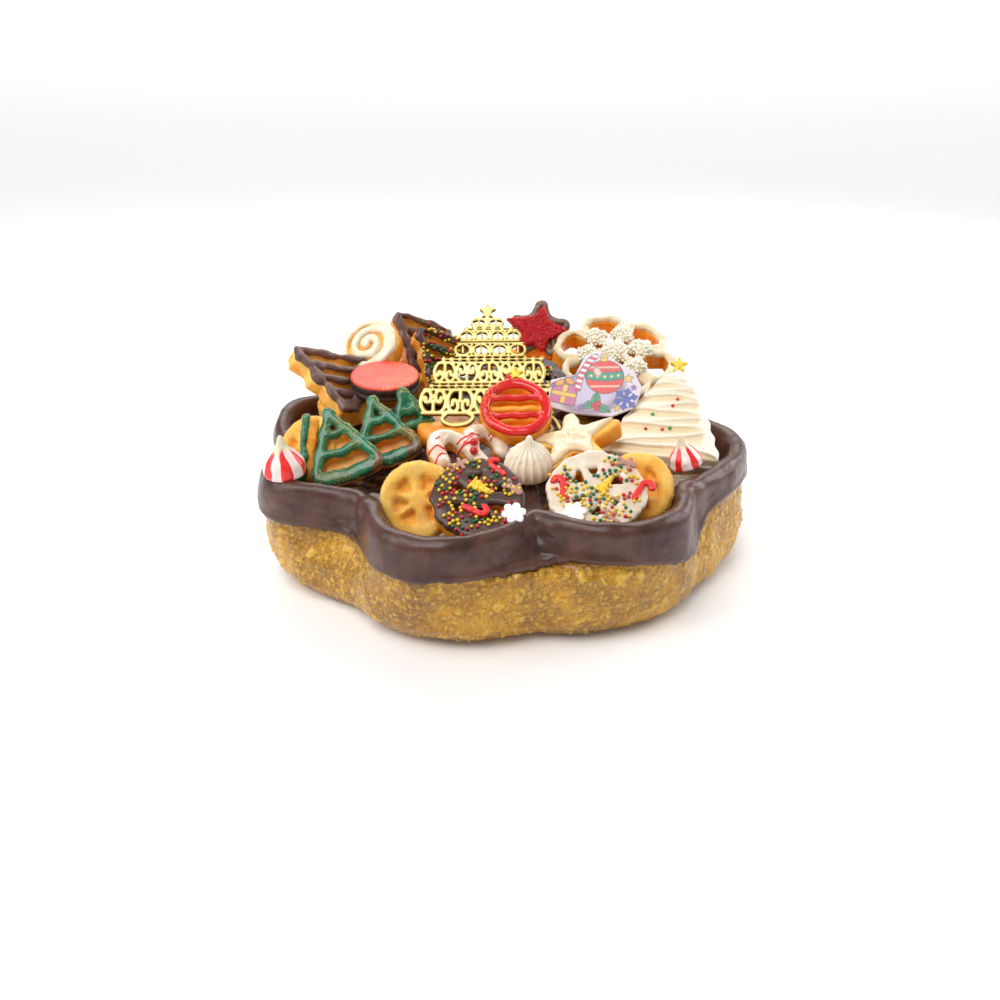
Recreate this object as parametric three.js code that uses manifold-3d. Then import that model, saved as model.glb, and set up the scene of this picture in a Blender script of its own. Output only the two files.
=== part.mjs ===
// Fritter ring cake: a large scalloped fried-dough ring with a raised middle, its rim dipped
// in chocolate, heaped with small iced fritters, candies, a gold tree-shaped topper and a
// printed wafer plaque. Millimetres, +Z up, origin on the table under the middle of the ring,
// front of the cake towards -Y.
import * as THREE from "three";
import { ConvexGeometry } from "three/addons/geometries/ConvexGeometry.js";
import { mergeVertices } from "three/addons/utils/BufferGeometryUtils.js";
import Module from "manifold-3d";

const wasm = await Module();
wasm.setup();

// ---------------------------------------------------------------- driving dimensions
const RIM_Z = 67.5;            // crest of the fried wall, under its chocolate
const FLOOR_Z = 46;            // floor of the petal cells
const HUB_Z = 66;              // raised middle that carries the heap
const HUB_R = 52;              // radius of the raised middle
const WEB_Z = 62.5;            // top of the webs between the cells
const WEB_HALF = 6.5;          // half width of a web at its top
const COAT = 2.6;              // thickness of the chocolate
const MIDDLE = [0.77, 3.05];    // middle of the overall box, seen from the middle of the ring
const GAP = 0.3;               // clearance between touching pieces
const BAND_Z = 45.5;           // lower edge of the chocolate outside
const SIDE_R = 145;            // mean radius of the belly of the wall
const SIDE_OVAL = 8;           // how much wider the belly is left-right than front-back

// petals: angle and radius of each notch, angle and radius of the bulge that follows it, how
// fast the outline climbs out of the notch and falls to the next one, how much the notch
// fades towards the belly, and how far the rim rises along the petal
const PETALS = [
  { notch: 186, rn: 137, peak: 204, rp: 151, up: 1.0, down: 3.0, soft: 0, lift: 1 },
  { notch: 229, rn: 120, peak: 252, rp: 146, up: 1.5, down: 1.5, soft: 0, lift: 0 },
  { notch: 279.5, rn: 112, peak: 308, rp: 143, up: 1.0, down: 0.9, soft: 7, lift: -1 },
  { notch: 322, rn: 131, peak: 358, rp: 150, up: 2.0, down: 1.2, soft: 0, lift: 1 },
  { notch: 383, rn: 124, peak: 403, rp: 148, up: 1.0, down: 1.0, soft: 0, lift: 4 },
  { notch: 424, rn: 120, peak: 445, rp: 147, up: 1.0, down: 1.0, soft: 0, lift: 6 },
  { notch: 465, rn: 121, peak: 486, rp: 148, up: 1.0, down: 1.0, soft: 0, lift: 7 },
  { notch: 506, rn: 127, peak: 526, rp: 151, up: 1.0, down: 1.0, soft: 0, lift: 9 },
];
const STEPS = [0, 0.11, 0.26, 0.42, 0.58, 0.74, 0.89];   // samples along one petal
const rad = THREE.MathUtils.degToRad;

// ---------------------------------------------------------------- ring outline
function petalAt(deg) {
  let a = deg;
  while (a < PETALS[0].notch) a += 360;
  while (a >= PETALS[0].notch + 360) a -= 360;
  let k = PETALS.length - 1;
  while (PETALS[k].notch > a) k--;
  const p = PETALS[k];
  const q = PETALS[(k + 1) % PETALS.length];
  const end = k + 1 < PETALS.length ? q.notch : q.notch + 360;
  return { a, p, q, end };
}

function outline(deg) {
  const { a, p, q, end } = petalAt(deg);
  if (a < p.peak) {
    const x = (a - p.notch) / (p.peak - p.notch);
    return p.rn + (p.rp - p.rn) * Math.pow(1 - (1 - x) * (1 - x), p.up);
  }
  const x = (end - a) / (end - p.peak);
  return q.rn + (p.rp - q.rn) * Math.pow(1 - (1 - x) * (1 - x), p.down);
}

const smooth = (lo, hi, x) => {
  const t = Math.min(1, Math.max(0, (x - lo) / (hi - lo)));
  return t * t * (3 - 2 * t);
};
const belly = (deg) => SIDE_R + SIDE_OVAL * Math.cos(rad(2 * deg));

// height of the crest of the rim
function rimTop(deg) {
  const { a, p, end } = petalAt(deg);
  return RIM_Z + p.lift * Math.sin((Math.PI * (a - p.notch)) / (end - p.notch));
}

// distance in millimetres from the nearest notch line at a radius
function webDistance(deg, r) {
  const { a, p, end } = petalAt(deg);
  return rad(Math.min(a - p.notch, end - a)) * r;
}

// height of the fried dough inside the crest of the rim
function topHeight(deg, r) {
  const crest = outline(deg) - 7;
  const wall = FLOOR_Z + (rimTop(deg) - FLOOR_Z) * (1 - smooth(2.5, 11, crest - r));
  const hub = FLOOR_Z + (HUB_Z - FLOOR_Z) * (1 - smooth(HUB_R, HUB_R + 11, r));
  const web = FLOOR_Z + (WEB_Z - FLOOR_Z) * (1 - smooth(WEB_HALF, WEB_HALF + 7, webDistance(deg, r)));
  return Math.max(wall, hub, web);
}

// outer side of the wall: [height, inset from the outline, share of the scallops]
const SIDE = [
  [0, 20, 0.3], [4, 10.5, 0.32], [12, 4.4, 0.38], [26, 1.0, 0.55], [40, 1.2, 0.86], [50, 2.2, 0.97],
  [61, 3.4, 1],
];
const hem = (deg) => BAND_Z + 1.6 * Math.sin(rad(deg * 3 + 40)) + 1.1 * Math.sin(rad(deg * 7));
const sideRows = (deg) => [0, 4, 12, 26, 38, hem(deg), 53, 61];      // heights of the wall's rows
function sideRadius(deg, z) {
  let i = 0;
  while (i < SIDE.length - 2 && SIDE[i + 1][0] < z) i++;
  const t = Math.min(1, Math.max(0, (z - SIDE[i][0]) / (SIDE[i + 1][0] - SIDE[i][0])));
  const inset = SIDE[i][1] + (SIDE[i + 1][1] - SIDE[i][1]) * t;
  let share = SIDE[i][2] + (SIDE[i + 1][2] - SIDE[i][2]) * t;
  const { a, p, q, end } = petalAt(deg);
  const x = (a - p.notch) / (end - p.notch);
  const soft = p.soft * (1 - smooth(0, 0.6, x)) + q.soft * (1 - smooth(0, 0.6, 1 - x));
  share = Math.max(0.3, 1 - (1 - share) * (1 + soft));
  return belly(deg) * (1 - share) + outline(deg) * share - inset;
}

// the angles at which the ring is sampled, closer together beside the notches
const ANGLES = [];
PETALS.forEach((p, k) => {
  const end = k + 1 < PETALS.length ? PETALS[k + 1].notch : PETALS[0].notch + 360;
  for (const t of STEPS) ANGLES.push(p.notch + (end - p.notch) * t);
});

// A lathe whose rows are set by a function of angle: row(j, deg) gives [radius, height].
// A closed ring section repeats its first row as its last. Rows from flip on are divided the
// other way, so that the underside of a skin lies facet by facet on what it covers.
function turned(rows, row, flip = rows) {
  const n = ANGLES.length;
  const profile = [];
  for (let j = 0; j < rows; j++) {
    const [r, z] = row(j, 0);
    profile.push(new THREE.Vector2(r, z));
  }
  const g = new THREE.LatheGeometry(profile, n);
  const pos = g.attributes.position;
  for (let i = 0; i <= n; i++) {
    const deg = ANGLES[i % n];
    for (let j = 0; j < rows; j++) {
      const [r, z] = row(j, deg);
      pos.setXYZ(i * rows + j, r * Math.cos(rad(deg)), r * Math.sin(rad(deg)), z);
    }
  }
  const index = [];
  for (let i = 0; i < n; i++) {
    for (let j = 0; j < rows - 1; j++) {
      const a = i * rows + j, b = a + rows, c = b + 1, d = a + 1;
      if (j < flip) index.push(a, b, d, c, d, b);
      else index.push(a, b, c, a, c, d);
    }
  }
  g.setIndex(index.filter((v, k, all) => {
    const t = k - (k % 3);
    const [p, q, r] = [all[t], all[t + 1], all[t + 2]].map((m) => new THREE.Vector3().fromBufferAttribute(pos, m));
    return p.distanceTo(q) > 1e-3 && q.distanceTo(r) > 1e-3 && r.distanceTo(p) > 1e-3;
  }));
  return g;
}

// a point of the top of the dough, moved out along its slope by d
function over(deg, r, d) {
  const slope = topHeight(deg, r + 0.5) - topHeight(deg, r - 0.5);
  const k = Math.hypot(1, slope);
  return [r - (d * slope) / k, topHeight(deg, r) + d / k];
}

// rows of the dough from the middle underneath, out and up the wall, to the middle on top
const RIM_INSET = 7.5;
const IN_STEPS = [3.5, 7.5, 11.5];       // down the inside of the rim
const FLOOR_STEPS = [0.3, 0.65, 1];      // across the floor of a cell
const SIDE_ROWS = sideRows(0).length;
const RING_ROWS = 1 + SIDE_ROWS + 1 + IN_STEPS.length + FLOOR_STEPS.length + 2;
function ringRow(j, deg, grow) {
  const R = outline(deg);
  if (j === 0) return [0, -grow];
  if (j <= SIDE_ROWS) {
    const z = sideRows(deg)[j - 1];
    return [sideRadius(deg, z) + grow, j === 1 ? -grow : z];
  }
  j -= SIDE_ROWS + 1;
  if (j === 0) return [R - RIM_INSET, rimTop(deg) + grow];
  j -= 1;
  const inner = R - RIM_INSET - IN_STEPS[IN_STEPS.length - 1];
  if (j < IN_STEPS.length) return over(deg, R - RIM_INSET - IN_STEPS[j], grow);
  j -= IN_STEPS.length;
  if (j < FLOOR_STEPS.length) return over(deg, inner + (HUB_R + 11 - inner) * FLOOR_STEPS[j], grow);
  return j === FLOOR_STEPS.length ? over(deg, HUB_R - 1, grow) : [0, HUB_Z + grow];
}
const ringGeometry = (grow) => turned(RING_ROWS, (j, deg) => ringRow(j, deg, grow));

// chocolate: a skin over the rim, from a wavy hem outside to part way down the cells inside
const coatPath = (deg, d, lip) => [
  [sideRadius(deg, hem(deg)) + d - lip, hem(deg)],
  [sideRadius(deg, 53) + d, 53],
  [sideRadius(deg, 61) + d, 61],
  [outline(deg) - RIM_INSET + lip, rimTop(deg) + d],
  over(deg, outline(deg) - RIM_INSET - IN_STEPS[0], d),
  over(deg, outline(deg) - RIM_INSET - IN_STEPS[1], d - lip),
];
function coatRow(j, deg) {
  const path = [...coatPath(deg, COAT, 0.7), ...coatPath(deg, GAP, 0).reverse()];
  return path[j % path.length];
}
const coatGeometry = turned(13, coatRow, 6);

// ---------------------------------------------------------------- solids
function solid(geometry) {
  const g = geometry.clone();
  g.deleteAttribute("normal");
  g.deleteAttribute("uv");
  const m = mergeVertices(g, 1e-4);
  return new wasm.Manifold(new wasm.Mesh({
    numProp: 3,
    vertProperties: Float32Array.from(m.attributes.position.array),
    triVerts: Uint32Array.from(m.index.array),
  }));
}

function geometryOf(manifold) {
  const m = manifold.getMesh();
  const g = new THREE.BufferGeometry();
  g.setAttribute("position", new THREE.BufferAttribute(Float32Array.from(m.vertProperties), 3));
  g.setIndex(new THREE.BufferAttribute(Uint32Array.from(m.triVerts), 1));
  g.computeVertexNormals();
  return g;
}

// ---------------------------------------------------------------- colours
const look = (color, roughness, metalness = 0) => ({ color, roughness, metalness });
const DOUGH = look(0xcf8f35, 0.75);
const CHOC = look(0x4a2f29, 0.4);
const SUGARED = look(0xdc8f2f, 0.85);
const GREEN = look(0x14694f, 0.35);
const WHITE = look(0xf1eadb, 0.45);
const RED = look(0xd93a33, 0.4);
const GOLD = look(0xd9c36c, 0.35, 0.6);

const cake = new THREE.Group();
function add(name, geometry, m) {
  const mesh = new THREE.Mesh(geometry, new THREE.MeshStandardMaterial(m));
  mesh.name = name;
  cake.add(mesh);
  return mesh;
}

// Stands a piece on its pose: its face (local +Z) looks to the azimuth az and the elevation
// el, its local +Y points up the slope, turned by spin anticlockwise as seen from in front.
function pose(mesh, at, az, el, spin = 0) {
  const n = new THREE.Vector3(Math.cos(rad(az)) * Math.cos(rad(el)), Math.sin(rad(az)) * Math.cos(rad(el)), Math.sin(rad(el)));
  const up = new THREE.Vector3(-Math.cos(rad(az)) * Math.sin(rad(el)), -Math.sin(rad(az)) * Math.sin(rad(el)), Math.cos(rad(el)));
  const x = new THREE.Vector3().crossVectors(up, n);
  const frame = new THREE.Matrix4().makeBasis(x, up, n);
  mesh.quaternion.setFromRotationMatrix(frame);
  mesh.rotateZ(rad(spin));
  mesh.position.set(...at);
  return mesh;
}

// ---------------------------------------------------------------- flat outlines
const dot = (x, y) => new THREE.Vector2(x, y);
function ringPoints(n, fn) {
  const pts = [];
  for (let i = 0; i < n; i++) pts.push(fn((i / n) * Math.PI * 2, i));
  return pts;
}
function slab(outer, holes, thick) {
  const s = new THREE.Shape(outer);
  for (const h of holes) s.holes.push(new THREE.Path(h));
  const g = new THREE.ExtrudeGeometry(s, { depth: thick, bevelEnabled: false, steps: 1, curveSegments: 1 });
  g.translate(0, 0, -thick);
  return g;
}

// round fritter with wedge-shaped openings round its middle
function roundFritter(r, thick, wedges = 6, sides = 20, turn = 0) {
  const holes = [];
  for (let k = 0; k < wedges; k++) {
    const a = (k / wedges) * Math.PI * 2 + turn;
    const w = Math.PI / wedges;
    holes.push([
      dot(Math.cos(a) * r * 0.3, Math.sin(a) * r * 0.3),
      dot(Math.cos(a + w * 0.52) * r * 0.66, Math.sin(a + w * 0.52) * r * 0.66),
      dot(Math.cos(a - w * 0.52) * r * 0.66, Math.sin(a - w * 0.52) * r * 0.66),
    ]);
  }
  return slab(ringPoints(sides, (t) => dot(Math.cos(t) * r, Math.sin(t) * r)), holes, thick);
}

// tree-shaped fritter: apex up, cells one above the other between bars
function treeFritter(w, h, thick, cells, steps = 0, bar = 4.5) {
  const half = (y) => (w / 2) * (1 - y / h) + w * 0.07;     // half width at height y above the base
  const right = steps ? [dot(w * 0.3, -h * 0.03), dot(w / 2, 0)] : [dot(w * 0.16, -h * 0.13), dot(w * 0.4, -h * 0.09), dot(w / 2, 0)];
  if (steps) {
    for (let k = 0; k < steps; k++) {
      const y0 = (h * (k + 0.55)) / (steps + 0.4);
      const y1 = (h * (k + 1)) / (steps + 0.4);
      right.push(dot(half(y0) * 1.08, y0 * 0.98), dot(half(y1) * 0.84 + 1, y1 * 0.97));
    }
  } else right.push(dot(half(h * 0.35), h * 0.33), dot(half(h * 0.7), h * 0.7));
  right.push(dot(w * 0.085, h * 0.965));
  const outer = [...right, ...right.slice().reverse().map((p) => dot(-p.x, p.y))];
  const holes = [];
  const top = h * 0.86;
  const pitch = (top - bar * 0.4) / cells;
  for (let k = 0; k < cells; k++) {
    const lo = bar * 0.55 + pitch * k + (k ? bar * 0.3 : 0);
    const hi = Math.min(top, pitch * (k + 1) - bar * 0.35);
    const a = Math.max(1.2, half(lo) - bar * (steps ? 1.25 : 1.05));
    const b = Math.max(0.5, half(hi) - bar * (steps ? 1.45 : 1.15));
    holes.push([dot(-a, lo), dot(-b, hi), dot(b, hi), dot(a, lo)]);
  }
  const g = slab(outer, holes, thick);
  g.translate(0, -h * 0.42, 0);
  return g;
}

// star with rounded tips
function starPoints(R, r, tips, blunt = 0.12) {
  const pts = [];
  for (let k = 0; k < tips; k++) {
    const a = Math.PI / 2 + (k / tips) * Math.PI * 2;
    const b = a + Math.PI / tips;
    if (blunt) pts.push(dot(Math.cos(a - blunt) * R, Math.sin(a - blunt) * R), dot(Math.cos(a + blunt) * R, Math.sin(a + blunt) * R));
    else pts.push(dot(Math.cos(a) * R, Math.sin(a) * R));
    pts.push(dot(Math.cos(b) * r, Math.sin(b) * r));
  }
  return pts;
}

// body turned about its own z axis
function turnedBody(profile, sides, shape) {
  const g = new THREE.LatheGeometry(profile.map(([r, z]) => dot(r, z)), sides);
  const pos = g.attributes.position;
  for (let i = 0; i < pos.count; i++) {
    const r = Math.hypot(pos.getX(i), pos.getZ(i));
    const t = Math.atan2(pos.getX(i), pos.getZ(i));
    const h = pos.getY(i);
    const [rr, hh] = shape ? shape(r, t, h) : [r, h];
    pos.setXYZ(i, rr * Math.sin(t), -rr * Math.cos(t), hh);
  }
  return g;
}

// ---------------------------------------------------------------- ring and chocolate
add("fritter_ring", ringGeometry(0), DOUGH);
add("chocolate_coat", coatGeometry, CHOC);

// ---------------------------------------------------------------- round fritters
const FR = 13;                                   // thickness of a small fritter
const rounds = [
  // name, radius, thickness, wedges, pose, look
  ["round_plain_front_left", 21, 12, 6, [-45, -92, 70], -90, 28, 12, SUGARED],
  ["round_iced_front_left", 24, FR, 6, [-13, -99.5, 75.5], -88, 60, 0, CHOC],
  ["round_plain_front_right", 20.5, 12, 6, [70.5, -79, 71], -118, 32, 0, SUGARED],
  ["round_iced_front_right", 25, FR, 6, [49, -92, 76], -92, 61, 10, WHITE],
  ["round_plain_left", 20.5, 12, 6, [-117.5, -30.5, 75.5], -124, 41, 0, SUGARED],
  ["round_plain_under_tree", 18, 14, 0, [-104, 33, 83], -110, 80, 0, SUGARED],
  ["round_chocolate_back", 25, 12, 0, [15, 52, 88], -90, 70, 0, CHOC],
  ["round_brown_middle", 20, 11, 0, [-34, -3, 79], -90, 84, 0, SUGARED],
  ["round_plain_back_left", 24, 15, 0, [-80, 78, 84], -110, 76, 0, SUGARED],
  ["round_plain_back_middle", 23, 14, 0, [14, 100, 85], -90, 74, 0, SUGARED],
  ["round_plain_back_right", 26, 15, 0, [74, 92, 80], -90, 72, 0, SUGARED],
];
for (const [name, r, t, wedges, at, az, el, spin, m] of rounds) {
  pose(add(name, roundFritter(r, t, wedges, wedges ? 18 : 14), m), at, az, el, spin);
}

// ---------------------------------------------------------------- tree fritters
const GT = 9;
pose(add("green_tree_1", treeFritter(40, 44, GT, 3), GREEN), [-94.5, -41, 80], -88, 46, 20);
pose(add("green_tree_2", treeFritter(38, 42, GT, 3), GREEN), [-73, -19, 80], -88, 44, 17);
pose(add("green_tree_3", treeFritter(33, 38, GT, 3), GREEN), [-57, -1, 80], -76, 38, 10);
pose(add("green_tree_4", treeFritter(22, 38, 8, 3), GREEN), [-117, -35, 75], -174, 8, 3);
pose(add("brown_tree_left", treeFritter(54, 50, 13, 4, 3), CHOC), [-104.5, 31, 96], -27, 52, 146);
pose(add("brown_tree_back_1", treeFritter(42, 42, 12, 4, 3), CHOC), [-58.5, 92, 101], -55, 34, 152);
pose(add("brown_tree_back_2", treeFritter(42, 42, 13, 4, 3), CHOC), [-42, 69, 96], -60, 34, 152);

// ---------------------------------------------------------------- spiral fritter
const SPIRAL_R = 20.5;
pose(add("spiral_fritter", turnedBody(
  [[0, 0], [5, 0], [10, 0], [14.5, 0], [SPIRAL_R - 2, 0], [SPIRAL_R, -3], [SPIRAL_R, -12], [SPIRAL_R - 3, -15], [0, -15]].reverse(),
  18,
  (r, t, h) => [r, h === 0 ? 1.6 * Math.cos((r / 7.2) * Math.PI * 2 + t) - 1.2 : h]), WHITE),
  [-92, 68, 108], -118, 48, 0);

// ---------------------------------------------------------------- sandwich biscuit
const BISCUIT_R = 22.3;
pose(add("sandwich_biscuit", turnedBody(
  [[0, -9], [BISCUIT_R - 1, -9], [BISCUIT_R - 0.4, -6.4], [BISCUIT_R - 2.2, -6.2], [BISCUIT_R - 2.2, -4.2], [BISCUIT_R - 0.4, -4], [BISCUIT_R, -0.8], [BISCUIT_R - 0.8, 0], [0, 0.4]],
  20), RED), [-77, 34, 97.4], -75, 83, 0);

// ---------------------------------------------------------------- candies and meringue
const dropProfile = (r, h) => [[0, 0], [r * 0.92, 0], [r, h * 0.1], [r * 0.93, h * 0.3], [r * 0.62, h * 0.53], [r * 0.25, h * 0.74], [r * 0.13, h * 0.94], [0, h]];
pose(add("candy_drop_left", turnedBody(dropProfile(12, 24), 14), RED), [-122, -60.5, 71.2], -90, 84, 0);
pose(add("candy_drop_right", turnedBody(dropProfile(9.5, 20), 14), RED), [104.5, -47, 69.5], 176, 75, 0);
const RIBS = 11;
pose(add("meringue_drop", turnedBody(
  [[0, 0], [11.6, 0], [13.4, 3.6], [13.2, 8], [10.6, 14], [6, 18.8], [2.2, 22], [0, 26]], RIBS * 2,
  (r, t, h) => [r * (1 + (h > 1 && h < 21 ? 0.07 : 0.02) * Math.cos(RIBS * t)), h]), WHITE), [14, -55, 68], -90, 80, 0);

// ---------------------------------------------------------------- double hook fritter
const hookHalf = [dot(3.4, -26), dot(4.6, -12), dot(5.2, -1), dot(8.2, 5), dot(12.6, 6), dot(16.2, 2.6), dot(16.8, -6), dot(24, -8), dot(25.4, 2), dot(22, 11.6), dot(14.4, 15.8), dot(6.2, 14.4), dot(1.2, 9.5)];
pose(add("double_hook_fritter", slab([...hookHalf, ...hookHalf.slice().reverse().map((p) => dot(-p.x, p.y))], [], 11), WHITE), [-17, -44.5, 84], -27, 64, -25);

// ---------------------------------------------------------------- bauble fritter
const BAUBLE_R = 21.4;
const slots = [-1.5, -0.5, 0.5, 1.5].map((k) => {
  const y = k * 7.2;
  const w = Math.sqrt(Math.max(0, 15.2 * 15.2 - (Math.abs(y) + 2.2) ** 2));
  return [dot(-w, y - 2.2), dot(w, y - 2.2), dot(w + 0.6, y), dot(w, y + 2.2), dot(-w, y + 2.2), dot(-w - 0.6, y)];
});
pose(add("bauble_fritter", slab([...ringPoints(20, (t) => dot(Math.cos(t + 1.75) * BAUBLE_R, Math.sin(t + 1.75) * BAUBLE_R))], slots, 13), RED), [7, -19.5, 95.6], -86, 60, 0);

// ---------------------------------------------------------------- stars
pose(add("white_star_fritter", slab(starPoints(26.5, 12.5, 5, 0.2), [], 13), WHITE), [39.5, -38, 83.6], -140, 70, 49);
pose(add("star_fritter_back", slab(starPoints(22, 13.5, 5, 0.14), [], 12), CHOC), [24.5, 107, 106.5], -91, 36, 0);
pose(add("red_sugar_star", slab(starPoints(21.5, 9.5, 5, 0.12), [], 3), RED), [22.8, 103.1, 106.85], -91, 36, -6);

// ---------------------------------------------------------------- cream tree
const CREAM_W = 72, CREAM_H = 66, CREAM_T = 17, SWAGS = 6;
const cream = new THREE.BoxGeometry(1, 1, 1, 6, 12, 1);
{
  const pos = cream.attributes.position;
  for (let i = 0; i < pos.count; i++) {
    const u = pos.getX(i) * 2, v = pos.getY(i) + 0.5, top = pos.getZ(i) > 0;
    const half = (CREAM_W / 2) * (0.14 + 0.86 * Math.pow(1 - v, 0.74));
    const swag = top ? Math.abs(Math.sin((v * SWAGS + 0.12 * u) * Math.PI)) : 0;
    const dome = top ? 7.5 * Math.sqrt(Math.max(0, 1 - 0.85 * u * u)) * (1 - 0.35 * v) + 2.2 * swag * (1 - u * u) : 0;
    pos.setXYZ(i, u * half + 6 * v, v * CREAM_H - 0.42 * CREAM_H - 4 * (1 - u * u) * (1 - v), (top ? -8 : -CREAM_T) + dome);
  }
}
pose(add("cream_tree", cream, WHITE), [94.5, -14, 88], -102, 58, 0);

// ---------------------------------------------------------------- snowflake fritter
const FLAKE_R = 43.5;
const LOBE = [[0, 0.815], [8, 0.875], [17, 0.985], [30, 0.965], [43, 0.985], [52, 0.875]];   // one of six lobes: angle, radius
const flakeOuter = [];
const flakeHoles = [];
for (let k = 0; k < 6; k++) {
  for (const [a, f] of LOBE) flakeOuter.push(dot(Math.cos(rad(a + k * 60)) * FLAKE_R * f, Math.sin(rad(a + k * 60)) * FLAKE_R * f));
  flakeHoles.push([[0.34, 30], [0.56, 12], [0.78, 12], [0.84, 21], [0.85, 39], [0.78, 48], [0.56, 48]].map(([f, a]) => dot(Math.cos(rad(a + k * 60)) * FLAKE_R * f, -Math.sin(rad(a + k * 60)) * FLAKE_R * f)));
}
pose(add("snowflake_fritter", slab(flakeOuter, flakeHoles, 15), WHITE), [76, 84, 96], -86, 66, 7);
pose(add("pearl_snowflake", slab(starPoints(27, 9, 6, 0.17), [], 5), WHITE), [76.3, 81.85, 101], -86, 66, -23);

// ---------------------------------------------------------------- gold topper, plaque, gold stars
const TOP_T = 3;
const topperHalf = [dot(6, 0), dot(9, 3), dot(30, 4), dot(43, 8), dot(44, 16), dot(38, 21), dot(34, 23), dot(36, 29), dot(35, 38), dot(30, 42), dot(21, 43), dot(22, 52), dot(19, 57), dot(14.5, 59), dot(13, 66), dot(8, 69), dot(2.6, 70)];
const topperHoles = [];
for (const [y, half, n] of [[9, 36, 6], [27, 31, 6], [47, 18, 4], [61, 9.5, 2]]) {
  for (let k = 0; k < n; k++) {
    const x = -half + (half * 2 * (k + 0.5)) / n;
    const w = half / n - 1.6, h = y > 60 ? 2.4 : 5;
    topperHoles.push([dot(x - w * 0.8, y - 1), dot(x - w * 0.6, y + h + 1), dot(x + w * 0.6, y + h + 1.6), dot(x + w * 0.8, y - 2)]);
  }
}
const topperStar = starPoints(7, 3, 5, 0).map((p) => dot(p.x, p.y + 74.4));
const topperOuter = [...topperHalf, topperStar[7], topperStar[8], topperStar[9], topperStar[0], topperStar[1], topperStar[2], topperStar[3], ...topperHalf.slice().reverse().map((p) => dot(-p.x, p.y))];
pose(add("gold_topper", slab(topperOuter, topperHoles, TOP_T), GOLD), [-11, -5, 83], -90, 46, 0);
pose(add("printed_plaque", slab([dot(-29, -14), dot(-12, -19), dot(10, -21), dot(24, -15), dot(29, -2), dot(24, 10), dot(10, 19), dot(4, 25), dot(-6, 21), dot(-12, 8), dot(-27, 4)], [], 1.6), WHITE), [55.5, 7.2, 99.2], -92, 48, 0);
pose(add("gold_star_cream", slab(starPoints(5.2, 2.3, 5, 0), [], 2), GOLD), [109, 22, 108], -100, 50, 0);
pose(add("gold_star_bauble", slab(starPoints(4.2, 1.9, 5, 0), [], 2), GOLD), [7, 0.2, 109.6], -90, 50, 0);

// ---------------------------------------------------------------- where pieces press together
// The piece named first gives way to the ones after it, with the clearance between them.
const PRESSED = [
  ["round_plain_left", "green_tree_1", "green_tree_4"],
  ["green_tree_4", "green_tree_1"],
  ["round_plain_under_tree", "brown_tree_left", "green_tree_2"],
  ["round_brown_middle", "green_tree_3", "double_hook_fritter"],
  ["spiral_fritter", "sandwich_biscuit"],
  ["brown_tree_left", "spiral_fritter", "sandwich_biscuit"],
  ["round_plain_back_left", "spiral_fritter", "brown_tree_back_1", "brown_tree_left"],
  ["round_plain_back_middle", "star_fritter_back", "brown_tree_back_2", "snowflake_fritter"],
  ["green_tree_3", "sandwich_biscuit"],
  ["bauble_fritter", "double_hook_fritter"],
  ["round_plain_back_right", "snowflake_fritter"],
  ["star_fritter_back", "snowflake_fritter"],
  ["red_sugar_star", "snowflake_fritter"],
  ["white_star_fritter", "meringue_drop", "bauble_fritter"],
  ["cream_tree", "candy_drop_right", "white_star_fritter"],
  ["round_plain_front_left", "round_iced_front_left"],
  ["round_plain_front_right", "round_iced_front_right"],
];
const byName = (name) => cake.children.find((m) => m.name === name);

// the wrapped shape of a piece, grown all round by the clearance
function wrapped(mesh, clearance) {
  const pos = mesh.geometry.attributes.position;
  const pts = [];
  for (let i = 0; i < pos.count; i++) pts.push(new THREE.Vector3().fromBufferAttribute(pos, i));
  const g = new ConvexGeometry(pts);
  g.computeBoundingBox();
  const size = g.boundingBox.getSize(new THREE.Vector3());
  const mid = g.boundingBox.getCenter(new THREE.Vector3());
  g.translate(-mid.x, -mid.y, -mid.z);
  g.scale(1 + (2 * clearance) / size.x, 1 + (2 * clearance) / size.y, 1 + (2 * clearance) / size.z);
  g.translate(mid.x, mid.y, mid.z);
  mesh.updateMatrixWorld(true);
  return solid(g.applyMatrix4(mesh.matrixWorld));
}

function inPlace(mesh) {
  mesh.updateMatrixWorld(true);
  return mesh.geometry.clone().applyMatrix4(mesh.matrixWorld);
}

function giveWay(mesh, cutters) {
  let body = solid(inPlace(mesh));
  const before = body.volume();
  for (const c of cutters) body = body.subtract(c);
  if (before - body.volume() < 1e-3) return;
  const pieces = body.decompose();
  body = pieces.reduce((a, b) => (b.volume() > a.volume() ? b : a));
  const g = geometryOf(body);
  g.applyMatrix4(mesh.matrixWorld.clone().invert());
  mesh.geometry = g;
}

for (const [name, ...others] of PRESSED) {
  giveWay(byName(name), others.map((o) => wrapped(byName(o), GAP + 0.05)));
}
const ringCutter = solid(ringGeometry(GAP + 0.1));
const coatCutter = solid(turned(13, (j, deg) => {
  const path = [...coatPath(deg, COAT + GAP + 0.25, 0.7), ...coatPath(deg, -2, 0).reverse()];
  path[0][1] -= GAP;
  return path[j % path.length];
}, 6));
const coatBody = solid(inPlace(byName("chocolate_coat")));
for (const mesh of cake.children.slice(2)) giveWay(mesh, [ringCutter, coatCutter, coatBody]);

cake.position.set(-MIDDLE[0], -MIDDLE[1], 0);

export default cake;
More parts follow.
